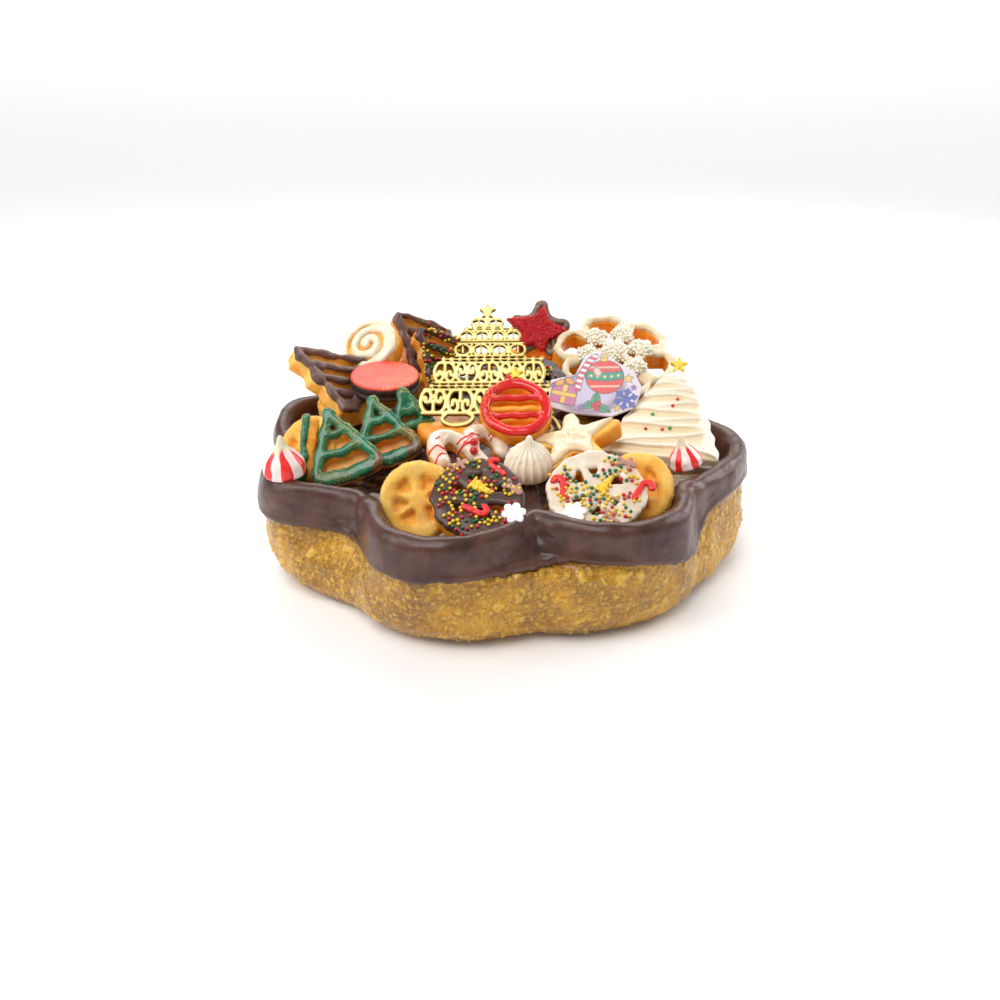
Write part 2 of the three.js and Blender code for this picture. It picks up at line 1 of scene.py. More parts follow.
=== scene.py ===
import bpy, math
import numpy as np
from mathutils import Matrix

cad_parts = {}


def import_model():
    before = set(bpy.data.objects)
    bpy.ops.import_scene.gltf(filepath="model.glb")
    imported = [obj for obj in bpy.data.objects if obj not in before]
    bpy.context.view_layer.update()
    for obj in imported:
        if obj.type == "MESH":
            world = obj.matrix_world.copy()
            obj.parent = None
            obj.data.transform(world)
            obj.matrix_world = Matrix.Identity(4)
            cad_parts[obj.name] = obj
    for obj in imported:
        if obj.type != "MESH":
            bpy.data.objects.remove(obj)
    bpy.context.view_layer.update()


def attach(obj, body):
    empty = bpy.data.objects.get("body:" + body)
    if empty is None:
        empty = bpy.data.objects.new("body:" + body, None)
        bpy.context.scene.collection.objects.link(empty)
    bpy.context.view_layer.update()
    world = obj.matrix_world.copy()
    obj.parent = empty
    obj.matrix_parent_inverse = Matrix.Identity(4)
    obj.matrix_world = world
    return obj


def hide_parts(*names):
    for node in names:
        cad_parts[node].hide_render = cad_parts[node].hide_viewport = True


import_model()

OX, OY = -0.77, -3.05            # the ring's middle in the row frame, mm

# =====================================================================================
# camera: the photograph's viewing angle
# =====================================================================================
cam_data = bpy.data.cameras.new("camera")
cam = bpy.data.objects.new("camera", cam_data)
bpy.context.scene.collection.objects.link(cam)
cam.location = ((4 + OX) / 1000, (-508 + OY) / 1000, 275.678 / 1000)
cam.rotation_euler = (math.radians(90 - 26.304), 0, 0)
cam_data.sensor_width = 36
cam_data.lens = 31.68
cam_data.shift_x = -0.011
cam_data.clip_start, cam_data.clip_end = 0.01, 50
bpy.context.scene.camera = cam

# =====================================================================================
# noise
# =====================================================================================
_tab = np.random.default_rng(7).uniform(-1, 1, 8192).astype(np.float32)


def vnoise(P, seed=0):
    """Smooth value noise, -1..1, one cell per unit."""
    P = np.asarray(P, np.float32)
    I = np.floor(P).astype(np.int64)
    f = P - I
    f = f * f * f * (f * (f * 6 - 15) + 10)
    out = 0
    for dx in (0, 1):
        wx = f[:, 0] if dx else 1 - f[:, 0]
        for dy in (0, 1):
            wy = f[:, 1] if dy else 1 - f[:, 1]
            for dz in (0, 1):
                wz = f[:, 2] if dz else 1 - f[:, 2]
                h = ((I[:, 0] + dx) * 73856093 ^ (I[:, 1] + dy) * 19349663 ^ (I[:, 2] + dz) * 83492791 ^ (seed * 2654435761 + 12345)) & 8191
                out = out + wx * wy * wz * _tab[h]
    return out


def fbm(P, octaves=3, seed=0, gain=0.5):
    out, a, s, t = 0, 1.0, 1.0, 0.0
    for k in range(octaves):
        out = out + a * vnoise(P * s, seed + 17 * k)
        t += a
        a *= gain
        s *= 2.03
    return out / t


def cells(S, T, size, seed, lo, hi, share=1.0):
    """Round blisters scattered over a plane, one per cell of this size: their height at each point."""
    out = np.zeros(S.shape, np.float32)
    i0, j0 = np.floor(S / size).astype(np.int64), np.floor(T / size).astype(np.int64)
    for di in (-1, 0, 1):
        for dj in (-1, 0, 1):
            i, j = i0 + di, j0 + dj
            h = (i * 73856093 ^ j * 19349663 ^ (seed * 83492791)) & 8191
            a, b = _tab[h] * 0.5 + 0.5, _tab[(h * 31 + 7) & 8191] * 0.5 + 0.5
            c, d = _tab[(h * 57 + 3) & 8191] * 0.5 + 0.5, _tab[(h * 91 + 11) & 8191] * 0.5 + 0.5
            r = lo + (hi - lo) * c * c
            q = ((S - (i + 0.2 + 0.6 * a) * size) ** 2 + (T - (j + 0.2 + 0.6 * b) * size) ** 2) / (r * r)
            bump = np.where((q < 1) & (d < share), r * np.sqrt(np.maximum(0, 1 - q)) * (1 - 0.25 * q), 0)
            out = np.maximum(out, bump)
    return out


def smooth(lo, hi, x):
    t = np.clip((x - lo) / (hi - lo), 0, 1)
    return t * t * (3 - 2 * t)


# =====================================================================================
# meshes
# =====================================================================================
made = {}


def obj(name, V, F, mat, attrs=None, nodes=(), slot=None, flat=False, placed=True):
    """A mesh piece. V in millimetres from the ring's middle, F quads or triangles."""
    V = np.asarray(V, np.float64)
    P = np.empty_like(V)
    P[:, 0], P[:, 1], P[:, 2] = (V[:, 0] + OX) / 1000, (V[:, 1] + OY) / 1000, V[:, 2] / 1000
    me = bpy.data.meshes.new(name)
    F = [np.asarray(f, np.int32) for f in (F if isinstance(F, list) else [F])]
    F = [f for f in F if len(f)]
    me.vertices.add(len(P))
    me.vertices.foreach_set("co", P.astype(np.float32).ravel())
    loops = np.concatenate([f.ravel() for f in F])
    sizes = np.concatenate([np.full(len(f), f.shape[1], np.int32) for f in F])
    starts = np.concatenate([[0], np.cumsum(sizes)[:-1]]).astype(np.int32)
    me.loops.add(len(loops))
    me.loops.foreach_set("vertex_index", loops)
    me.polygons.add(len(sizes))
    me.polygons.foreach_set("loop_start", starts)
    me.polygons.foreach_set("loop_total", sizes)
    me.update(calc_edges=True)
    me.validate()
    if not flat:
        me.shade_smooth()
    for key, value in (attrs or {}).items():
        value = np.asarray(value, np.float32)
        if value.ndim == 1:
            a = me.attributes.new(key, "FLOAT", "POINT")
            a.data.foreach_set("value", value)
        else:
            a = me.color_attributes.new(key, "FLOAT_COLOR", "POINT")
            if value.shape[1] == 3:
                value = np.concatenate([value, np.ones((len(value), 1), np.float32)], 1)
            a.data.foreach_set("color", value.ravel())
    o = bpy.data.objects.new(name, me)
    bpy.context.scene.collection.objects.link(o)
    for m in mat if isinstance(mat, (list, tuple)) else [mat]:
        me.materials.append(m)
    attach(o, "root")
    if nodes:
        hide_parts(*([nodes] if isinstance(nodes, str) else nodes))
    made[name] = o
    return o


def normals(V, F):
    """Vertex normals of a mesh of quads."""
    A, B, C, D = (V[F[:, i]] for i in range(4))
    n = np.cross(C - A, D - B)
    N = np.zeros_like(V)
    for i in range(4):
        np.add.at(N, F[:, i], n)
    return N / np.maximum(1e-9, np.linalg.norm(N, axis=1))[:, None]


def nets(f, lo, hi, h, project=2):
    """Closed surface where f is 0 (negative inside), by surface nets on a grid of pitch h."""
    lo, hi = np.asarray(lo, float) - 2 * h, np.asarray(hi, float) + 2 * h
    n = np.ceil((hi - lo) / h).astype(int) + 1
    ax = [lo[i] + h * np.arange(n[i]) for i in range(3)]
    G = np.stack(np.meshgrid(*ax, indexing="ij"), -1).reshape(-1, 3)
    D = f(G).reshape(n).astype(np.float32)
    D[0], D[-1], D[:, 0], D[:, -1], D[:, :, 0], D[:, :, -1] = 1, 1, 1, 1, 1, 1
    S = D < 0
    acc = np.zeros(tuple(n - 1) + (3,), np.float32)
    cnt = np.zeros(tuple(n - 1), np.float32)
    c = [slice(0, -1), slice(1, None)]
    for a in range(3):
        b1, b2 = [i for i in range(3) if i != a]
        for p in (0, 1):
            for q in (0, 1):
                s0, s1 = [None] * 3, [None] * 3
                s0[a], s1[a] = c[0], c[1]
                s0[b1] = s1[b1] = c[p]
                s0[b2] = s1[b2] = c[q]
                d0, d1 = D[tuple(s0)], D[tuple(s1)]
                cross = (d0 < 0) != (d1 < 0)
                with np.errstate(divide="ignore", invalid="ignore"):
                    t = np.where(cross, d0 / (d0 - d1), 0)
                cnt += cross
                acc[..., a] += np.where(cross, t, 0)
                acc[..., b1] += cross * p
                acc[..., b2] += cross * q
    act = cnt > 0
    idx = np.full(act.shape, -1, np.int64)
    idx[act] = np.arange(act.sum())
    I = np.argwhere(act)
    V = lo + h * (I + acc[act] / cnt[act][:, None])
    quads = []
    for a in range(3):
        b1, b2 = (a + 1) % 3, (a + 2) % 3
        s0, s1 = [slice(1, -1)] * 3, [slice(1, -1)] * 3
        s0[a], s1[a] = slice(0, -1), slice(1, None)
        x0, x1 = S[tuple(s0)], S[tuple(s1)]
        e = np.argwhere(x0 != x1)
        if not len(e):
            continue
        out = x0[tuple(e.T)]
        off = np.ones(3, int)
        off[a] = 0
        e = e + off
        cellsq = []
        for d1, d2 in ((0, 0), (1, 0), (1, 1), (0, 1)):
            k = e.copy()
            k[:, b1] -= d1
            k[:, b2] -= d2
            cellsq.append(idx[tuple(k.T)])
        q = np.stack(cellsq, 1)
        q[~out] = q[~out][:, ::-1]
        quads.append(q)
    F = np.concatenate(quads)
    F = F[(F >= 0).all(1)]
    for _ in range(project):
        e = 0.15 * h
        d = f(V)
        g = np.stack([f(V + np.eye(3)[i] * e) - f(V - np.eye(3)[i] * e) for i in range(3)], 1) / (2 * e)
        gg = np.maximum(0.25, (g * g).sum(1))
        step = np.clip(d / gg, -0.5 * h, 0.5 * h)
        V = V - g * step[:, None]
    return V, F


# distances in a flat outline ----------------------------------------------------------
def seg(U, W, a, b, r):
    ax, ay = a
    bx, by = b
    dx, dy = bx - ax, by - ay
    t = np.clip(((U - ax) * dx + (W - ay) * dy) / max(1e-9, dx * dx + dy * dy), 0, 1)
    return np.hypot(U - ax - t * dx, W - ay - t * dy) - r


def line(U, W, pts, r, closed=False, k=0.0):
    """A stroke along points."""
    out = None
    n = len(pts)
    for i in range(n if closed else n - 1):
        d = seg(U, W, pts[i], pts[(i + 1) % n], r)
        out = d if out is None else (smin(out, d, k) if k else np.minimum(out, d))
    return out


def poly(U, W, pts):
    pts = np.asarray(pts, float)
    d = np.full(U.shape, 1e9)
    s = np.ones(U.shape)
    n = len(pts)
    j = n - 1
    for i in range(n):
        e, w0, w1 = pts[j] - pts[i], U - pts[i][0], W - pts[i][1]
        t = np.clip((w0 * e[0] + w1 * e[1]) / max(1e-12, e @ e), 0, 1)
        d = np.minimum(d, (w0 - e[0] * t) ** 2 + (w1 - e[1] * t) ** 2)
        c1, c2, c3 = W >= pts[i][1], W < pts[j][1], e[0] * w1 > e[1] * w0
        flip = (c1 & c2 & c3) | (~c1 & ~c2 & ~c3)
        s = np.where(flip, -s, s)
        j = i
    return s * np.sqrt(d)


def smin(a, b, k):
    h = np.clip(0.5 + 0.5 * (b - a) / k, 0, 1)
    return b + (a - b) * h - k * h * (1 - h)


def smax(a, b, k):
    return -smin(-a, -b, k)


def plate(d2, w, lo, hi, r, r_low=None):
    """A flat outline d2 filled from height lo to hi, its edges rounded by r (r_low underneath)."""
    r_low = r if r_low is None else r_low
    mid, half = (lo + hi) / 2, (hi - lo) / 2
    rr = np.where(w > mid, r, r_low)
    dw = np.abs(w - mid) - half
    a, b = d2 + rr, dw + rr
    return np.hypot(np.maximum(a, 0), np.maximum(b, 0)) + np.minimum(np.maximum(a, b), 0) - rr


# where a topping lies ------------------------------------------------------------------
class Pose:
    """Face (local +w) to azimuth az and elevation el, local +v up the slope, turned by spin."""

    def __init__(self, at, az, el, spin=0):
        az, el, s = math.radians(az), math.radians(el), math.radians(spin)
        n = np.array([math.cos(az) * math.cos(el), math.sin(az) * math.cos(el), math.sin(el)])
        up = np.array([-math.cos(az) * math.sin(el), -math.sin(az) * math.sin(el), math.cos(el)])
        x = np.cross(up, n)
        self.at = np.array(at, float)
        self.M = np.stack([math.cos(s) * x + math.sin(s) * up, -math.sin(s) * x + math.cos(s) * up, n])

    def out(self, L):
        return self.at + np.asarray(L) @ self.M

    def into(self, P):
        return (np.asarray(P) - self.at) @ self.M.T


# =====================================================================================
# materials
# =====================================================================================
class Mat:
    """A small node-tree builder."""

    def __init__(self, name):
        self.m = bpy.data.materials.new(name)
        self.m.use_nodes = True
        self.t = self.m.node_tree
        self.t.nodes.clear()
        self.o = self.t.nodes.new("ShaderNodeOutputMaterial")
        self.tc = self.t.nodes.new("ShaderNodeTexCoord")

    def link(self, a, b):
        self.t.links.new(a, b)

    def set(self, sock, v):
        if isinstance(v, bpy.types.NodeSocket):
            self.link(v, sock)
        elif v is not None:
            if isinstance(v, (tuple, list)) and len(v) == 3 and sock.type == "RGBA":
                v = (*v, 1)
            sock.default_value = v

    def noise(self, mm, detail=2.0, rough=0.5, distortion=0.0, colour=False, stretch=None):
        n = self.t.nodes.new("ShaderNodeTexNoise")
        n.inputs["Scale"].default_value = 1000.0 / mm
        n.inputs["Detail"].default_value = detail
        n.inputs["Roughness"].default_value = rough
        n.inputs["Distortion"].default_value = distortion
        if stretch:
            mp = self.t.nodes.new("ShaderNodeMapping")
            mp.inputs["Scale"].default_value = stretch
            self.link(self.tc.outputs["Object"], mp.inputs["Vector"])
            self.link(mp.outputs["Vector"], n.inputs["Vector"])
        else:
            self.link(self.tc.outputs["Object"], n.inputs["Vector"])
        return n.outputs["Color" if colour else "Fac"]

    def voronoi(self, mm, feature="F1", out="Distance", randomness=1.0, smoothness=0.3):
        n = self.t.nodes.new("ShaderNodeTexVoronoi")
        n.feature = feature
        n.inputs["Scale"].default_value = 1000.0 / mm
        n.inputs["Randomness"].default_value = randomness
        if feature == "SMOOTH_F1":
            n.inputs["Smoothness"].default_value = smoothness
        self.link(self.tc.outputs["Object"], n.inputs["Vector"])
        return n.outputs[out]

    def attr(self, name, colour=False):
        n = self.t.nodes.new("ShaderNodeAttribute")
        n.attribute_name = name
        return n.outputs["Color" if colour else "Fac"]

    def ramp(self, fac, stops, mode="LINEAR"):
        n = self.t.nodes.new("ShaderNodeValToRGB")
        n.color_ramp.interpolation = mode
        e = n.color_ramp.elements
        while len(e) < len(stops):
            e.new(0.5)
        for k, (p, c) in enumerate(stops):
            e[k].position = p
            e[k].color = (*c, 1) if not isinstance(c, (int, float)) else (c, c, c, 1)
        self.link(fac, n.inputs["Fac"])
        return n.outputs["Color"]

    def span(self, v, a, b, c=0.0, d=1.0):
        n = self.t.nodes.new("ShaderNodeMapRange")
        n.clamp = True
        self.set(n.inputs["Value"], v)
        for k, x in zip(("From Min", "From Max", "To Min", "To Max"), (a, b, c, d)):
            n.inputs[k].default_value = x
        return n.outputs["Result"]

    def math(self, op, a, b=None):
        n = self.t.nodes.new("ShaderNodeMath")
        n.operation = op
        self.set(n.inputs[0], a)
        self.set(n.inputs[1], b)
        return n.outputs[0]

    def mix(self, fac, a, b, mode="MIX"):
        n = self.t.nodes.new("ShaderNodeMix")
        n.data_type = "RGBA"
        n.blend_type = mode
        self.set(n.inputs["Factor"], fac)
        self.set(n.inputs["A"], a)
        self.set(n.inputs["B"], b)
        return n.outputs["Result"]

    def bump(self, height, mm, normal=None, strength=1.0):
        n = self.t.nodes.new("ShaderNodeBump")
        n.inputs["Strength"].default_value = strength
        n.inputs["Distance"].default_value = mm / 1000
        self.link(height, n.inputs["Height"])
        if normal is not None:
            self.link(normal, n.inputs["Normal"])
        return n.outputs["Normal"]

    def principled(self, **k):
        n = self.t.nodes.new("ShaderNodeBsdfPrincipled")
        for key, v in k.items():
            self.set(n.inputs[key.replace("_", " ")], v)
        return n.outputs["BSDF"]

    def done(self, shader):
        self.link(shader, self.o.inputs["Surface"])
        return self.m


def srgb(r, g, b):
    return tuple((c / 255 / 12.92) if c / 255 <= 0.04045 else ((c / 255 + 0.055) / 1.055) ** 2.4 for c in (r, g, b))


def fried_wall():
    """Amber fried dough with small glassy blisters; tone, blister and choc come from the mesh."""
    m = Mat("fried_wall")
    tone, blis = m.attr("tone"), m.attr("blister")
    n1, n2 = m.noise(11, 3, 0.6), m.noise(2.2, 3, 0.65)
    t = m.math("ADD", m.math("MULTIPLY", n1, 0.45), m.math("MULTIPLY", n2, 0.55))
    t = m.math("ADD", m.math("MULTIPLY", t, 0.6), m.math("MULTIPLY", tone, 0.42))
    base = m.ramp(t, [(0.34, srgb(112, 66, 2)), (0.46, srgb(156, 104, 8)), (0.56, srgb(198, 138, 10)), (0.7, srgb(230, 176, 34))])
    # The raised blisters, blobs, domes and spots are painted paler than the dough around them: partly their own paler
    # crust, partly a painted highlight on the bubble tops.
    base = m.mix(m.span(blis, 0.15, 0.8, 0.0, 0.75), base, srgb(236, 190, 66))
    big = m.voronoi(2.6)
    blob = m.math("MULTIPLY", m.span(m.voronoi(4.6), 0.4, 0.12), m.span(m.noise(8, 2, 0.5), 0.44, 0.56))
    base = m.mix(m.math("MULTIPLY", blob, 0.62), base, srgb(244, 208, 96))
    tiny = m.voronoi(1.15)
    spot = m.span(tiny, 0.42, 0.1)
    dome = m.span(big, 0.36, 0.0)
    base = m.mix(m.math("MULTIPLY", spot, 0.42), base, srgb(238, 190, 70))
    base = m.mix(m.math("MULTIPLY", dome, 0.55), base, srgb(238, 196, 76))
    sugar = m.math("MULTIPLY", m.span(m.voronoi(0.8), 0.2, 0.08), m.span(m.noise(9, 3, 0.6), 0.5, 0.62))
    base = m.mix(m.math("MULTIPLY", sugar, 0.25), base, srgb(255, 230, 160))
    choc = m.attr("choc")
    cn = m.noise(5, 3, 0.6)
    cmask = m.span(m.math("ADD", choc, m.math("MULTIPLY", m.math("SUBTRACT", cn, 0.5), 0.5)), 0.45, 0.55)
    base = m.mix(cmask, base, srgb(84, 54, 46))
    rough = m.mix(cmask, m.span(n2, 0.35, 0.65, 0.3, 0.5), (0.34, 0.34, 0.34))
    nrm = m.bump(n2, 0.5, strength=0.7)
    nrm = m.bump(blob, 1.1, nrm, 0.9)
    nrm = m.bump(dome, 0.8, nrm, 0.9)
    nrm = m.bump(spot, 0.34, nrm, 0.9)
    nrm = m.bump(m.noise(0.5, 2, 0.6), 0.07, nrm, 0.6)
    s = m.principled(Base_Color=base, Roughness=rough, Normal=nrm, Subsurface_Weight=0.14, Subsurface_Radius=(0.004, 0.0022, 0.0006),
                     Subsurface_Scale=0.4, Specular_IOR_Level=0.4, Coat_Weight=0.5, Coat_Roughness=0.07)
    return m.done(s)


def sugared():
    """Orange-gold fritter dusted with sugar and brown specks."""
    m = Mat("sugared_dough")
    tone = m.attr("tone")
    n1, n2 = m.noise(6, 3, 0.6), m.noise(0.9, 3, 0.65)
    t = m.math("ADD", m.math("MULTIPLY", n1, 0.45), m.math("MULTIPLY", n2, 0.35))
    t = m.math("ADD", t, m.math("MULTIPLY", tone, 0.45))
    base = m.ramp(t, [(0.22, srgb(186, 96, 16)), (0.42, srgb(246, 158, 40)), (0.6, srgb(255, 188, 64)), (0.85, srgb(255, 216, 112))])
    sp = m.span(m.voronoi(1.5), 0.16, 0.08)
    keep = m.span(m.noise(3.5, 2, 0.5), 0.44, 0.54)
    base = m.mix(m.math("MULTIPLY", m.math("MULTIPLY", sp, keep), 0.75), base, srgb(96, 46, 16))
    sug = m.span(m.voronoi(0.7), 0.26, 0.12)
    base = m.mix(m.math("MULTIPLY", sug, 0.5), base, srgb(255, 226, 160))
    h = m.math("ADD", n2, m.math("MULTIPLY", sug, 0.6))
    nrm = m.bump(h, 0.26, strength=0.9)
    s = m.principled(Base_Color=base, Roughness=m.span(sug, 0, 1, 0.6, 0.3), Normal=nrm, Subsurface_Weight=0.15,
                     Subsurface_Radius=(0.004, 0.0016, 0.0005), Subsurface_Scale=0.4, Specular_IOR_Level=0.45)
    return m.done(s)


def dough():
    """Smooth golden fried side of an iced fritter."""
    m = Mat("golden_dough")
    tone = m.attr("tone")
    n1, n2 = m.noise(7, 3, 0.6), m.noise(1.2, 3, 0.6)
    t = m.math("ADD", m.math("MULTIPLY", n1, 0.5), m.math("MULTIPLY", n2, 0.25))
    t = m.math("ADD", t, m.math("MULTIPLY", tone, 0.5))
    base = m.ramp(t, [(0.22, srgb(172, 84, 8)), (0.42, srgb(236, 134, 16)), (0.62, srgb(250, 164, 36)), (0.85, srgb(255, 202, 92))])
    h = m.math("ADD", m.math("MULTIPLY", n2, 0.7), m.span(m.voronoi(1.1), 0.3, 0.1, 0, 0.5))
    nrm = m.bump(h, 0.22, strength=0.8)
    s = m.principled(Base_Color=base, Roughness=0.42, Normal=nrm, Subsurface_Weight=0.18,
                     Subsurface_Radius=(0.004, 0.0016, 0.0005), Subsurface_Scale=0.5, Specular_IOR_Level=0.5, Coat_Weight=0.15, Coat_Roughness=0.2)
    return m.done(s)


def chocolate(name="chocolate", gold=0.0, base=(82, 49, 40), dark=(56, 31, 25)):
    """Satin chocolate with soft mottling; gold adds a dusting of gold."""
    m = Mat(name)
    n1, n2 = m.noise(14, 3, 0.6, 0.4), m.noise(2.2, 3, 0.55)
    c = m.ramp(n1, [(0.3, srgb(*dark)), (0.52, srgb(*base)), (0.75, srgb(base[0] + 16, base[1] + 14, base[2] + 12))])
    h = m.math("ADD", m.math("MULTIPLY", n1, 1.0), m.math("MULTIPLY", n2, 0.22))
    nrm = m.bump(h, 0.9, strength=0.5)
    rough = m.span(n2, 0.3, 0.7, 0.27, 0.4)
    s = m.principled(Base_Color=c, Roughness=rough, Normal=nrm, Subsurface_Weight=0.04, Subsurface_Radius=(0.002, 0.001, 0.0007),
                     Subsurface_Scale=0.3, Specular_IOR_Level=0.4, Coat_Weight=0.1, Coat_Roughness=0.22)
    if gold:
        patch = m.span(m.noise(5, 3, 0.6), 0.52, 0.66)
        flake = m.span(m.voronoi(0.5), 0.35, 0.2)
        fac = m.math("MULTIPLY", m.math("MULTIPLY", patch, flake), gold)
        g = m.principled(Base_Color=srgb(214, 178, 96), Roughness=0.3, Metallic=1.0)
        mx = m.t.nodes.new("ShaderNodeMixShader")
        m.link(fac, mx.inputs[0])
        m.link(s, mx.inputs[1])
        m.link(g, mx.inputs[2])
        s = mx.outputs[0]
    return m.done(s)


def icing(name, colour, deep, rough=0.22, flecks=None, sss=0.15, stripes=None, patch=None, wave=0.35, shimmer=None):
    """Set icing: soft colour change, shallow waves, and if asked flecks, drizzle or patches from the mesh."""
    m = Mat(name)
    n1, n2 = m.noise(8, 2, 0.5), m.noise(1.7, 2, 0.5)
    c = m.mix(m.span(n1, 0.3, 0.7), deep, colour)
    if stripes:
        c = m.mix(m.span(m.attr("stripe"), 0.4, 0.6), c, stripes)
    if patch:
        c = m.mix(m.span(m.math("ADD", m.attr("patch"), m.math("MULTIPLY", m.math("SUBTRACT", n2, 0.5), 0.4)), 0.45, 0.55), c, patch)
    h = m.math("ADD", n1, m.math("MULTIPLY", n2, 0.35))
    nrm = m.bump(h, wave, strength=0.55)
    s = m.principled(Base_Color=c, Roughness=rough, Normal=nrm, Subsurface_Weight=sss, Subsurface_Radius=(0.003, 0.002, 0.0015),
                     Subsurface_Scale=0.5, Specular_IOR_Level=0.5, Coat_Weight=0.25, Coat_Roughness=0.12)
    for spec in (flecks, shimmer):
        if not spec:
            continue
        colour2, mm, lo, hi, cover = spec
        pm = m.span(m.noise(6 if spec is flecks else 9, 3, 0.65), lo, hi)
        fl = m.span(m.voronoi(mm), 0.28, 0.18)
        fac = m.math("MULTIPLY", m.math("MULTIPLY", pm, fl), cover)
        if spec is shimmer:
            fac = m.math("MULTIPLY", fac, m.attr("gold"))
        g = m.principled(Base_Color=colour2, Roughness=0.25, Metallic=1.0, Normal=m.bump(m.voronoi(mm), 0.3))
        mx = m.t.nodes.new("ShaderNodeMixShader")
        m.link(fac, mx.inputs[0])
        m.link(s, mx.inputs[1])
        m.link(g, mx.inputs[2])
        s = mx.outputs[0]
    return m.done(s)


def plain(name, colour, rough=0.35, metal=0.0, bump=0.0, mm=0.6, sss=0.1, vary=0.12, coat=0.0):
    """Small sweets: a colour with a little variation and grain."""
    m = Mat(name)
    n1 = m.noise(3, 2, 0.5)
    dark = tuple(c * (1 - vary * 2) for c in colour)
    c = m.mix(m.span(n1, 0.3, 0.7), dark, colour)
    k = dict(Base_Color=c, Roughness=rough, Metallic=metal, Specular_IOR_Level=0.5, Coat_Weight=coat, Coat_Roughness=0.15)
    if sss:
        k.update(Subsurface_Weight=sss, Subsurface_Radius=(0.002, 0.001, 0.001), Subsurface_Scale=0.4)
    if bump:
        k["Normal"] = m.bump(m.voronoi(mm), bump)
    return m.done(m.principled(**k))


WALL, SUGARED, DOUGH = fried_wall(), sugared(), dough()
CHOC = chocolate()

# =====================================================================================
# ring: the outline of the CAD ring, in finer steps
# =====================================================================================
RIM_Z, FLOOR_Z, HUB_Z, HUB_R, WEB_Z, WEB_HALF, COAT, BAND_Z, SIDE_R, SIDE_OVAL, RIM_INSET = 67.5, 46, 66, 52, 62.5, 6.5, 2.6, 45.5, 145, 8, 7.5
PETALS = [
    (186, 137, 204, 151, 1.0, 3.0, 0, 1), (229, 120, 252, 146, 1.5, 1.5, 0, 0), (279.5, 112, 308, 143, 1.0, 0.9, 7, -1),
    (322, 131, 358, 150, 2.0, 1.2, 0, 1), (383, 124, 403, 148, 1.0, 1.0, 0, 4), (424, 120, 445, 147, 1.0, 1.0, 0, 6),
    (465, 121, 486, 148, 1.0, 1.0, 0, 7), (506, 127, 526, 151, 1.0, 1.0, 0, 9)]
_NOTCH = np.array([p[0] for p in PETALS] + [546.0])
_P = np.array(PETALS + [(546,) + PETALS[0][1:]], float)


def petal(deg):
    a = (np.asarray(deg, float) - 186) % 360 + 186
    k = np.clip(np.searchsorted(_NOTCH, a, side="right") - 1, 0, 7)
    return a, _P[k], _P[k + 1]


def outline(deg):
    a, p, q = petal(deg)
    x1 = np.clip((a - p[..., 0]) / (p[..., 2] - p[..., 0]), 0, 1)
    up = p[..., 1] + (p[..., 3] - p[..., 1]) * (1 - (1 - x1) ** 2) ** p[..., 4]
    x2 = np.clip((q[..., 0] - a) / (q[..., 0] - p[..., 2]), 0, 1)
    down = q[..., 1] + (p[..., 3] - q[..., 1]) * (1 - (1 - x2) ** 2) ** p[..., 5]
    return np.where(a < p[..., 2], up, down)


def soft_outline(deg, w=1.6):
    """The outline with its notches a little rounded."""
    return sum(k * outline(deg + d * w) for d, k in ((-1.5, 0.1), (-0.75, 0.22), (0, 0.36), (0.75, 0.22), (1.5, 0.1)))


def rim_top(deg):
    a, p, q = petal(deg)
    return RIM_Z + p[..., 7] * np.sin(np.pi * (a - p[..., 0]) / (q[..., 0] - p[..., 0]))


def web_distance(deg, r):
    a, p, q = petal(deg)
    return np.radians(np.minimum(a - p[..., 0], q[..., 0] - a)) * r


def top_height(deg, r):
    crest = soft_outline(deg) - 7
    wall = FLOOR_Z + (rim_top(deg) - FLOOR_Z) * (1 - smooth(2.5, 11, crest - r))
    hub = FLOOR_Z + (HUB_Z - FLOOR_Z) * (1 - smooth(HUB_R, HUB_R + 11, r))
    web = FLOOR_Z + (WEB_Z - FLOOR_Z) * (1 - smooth(WEB_HALF, WEB_HALF + 7, web_distance(deg, r)))
    return smax(smax(wall, hub, 3.0), web, 3.0)


SIDE = np.array([[0, 20, 0.3], [4, 10.5, 0.32], [12, 4.4, 0.38], [26, 1.0, 0.55], [40, 1.2, 0.86], [50, 2.2, 0.97], [61, 3.4, 1]])


def side_radius(deg, z):
    inset, share = np.interp(z, SIDE[:, 0], SIDE[:, 1]), np.interp(z, SIDE[:, 0], SIDE[:, 2])
    a, p, q = petal(deg)
    x = (a - p[..., 0]) / (q[..., 0] - p[..., 0])
    soft = p[..., 6] * (1 - smooth(0, 0.6, x)) + q[..., 6] * (1 - smooth(0, 0.6, 1 - x))
    share = np.maximum(0.3, 1 - (1 - share) * (1 + soft))
    belly = SIDE_R + SIDE_OVAL * np.cos(np.radians(2 * deg))
    return belly * (1 - share) + soft_outline(deg) * share - inset


def hem(deg):
    return BAND_Z + 1.6 * np.sin(np.radians(deg * 3 + 40)) + 1.1 * np.sin(np.radians(deg * 7))


def revolve(R, Z, deg):
    return np.stack([R * np.cos(np.radians(deg)), R * np.sin(np.radians(deg)), Z], -1)


def grid_faces(rows, cols, first=0):
    i, j = np.meshgrid(np.arange(cols), np.arange(rows - 1), indexing="ij")
    a = i * rows + j
    b = ((i + 1) % cols) * rows + j
    return (first + np.stack([a, b, b + 1, a + 1], -1)).reshape(-1, 4)


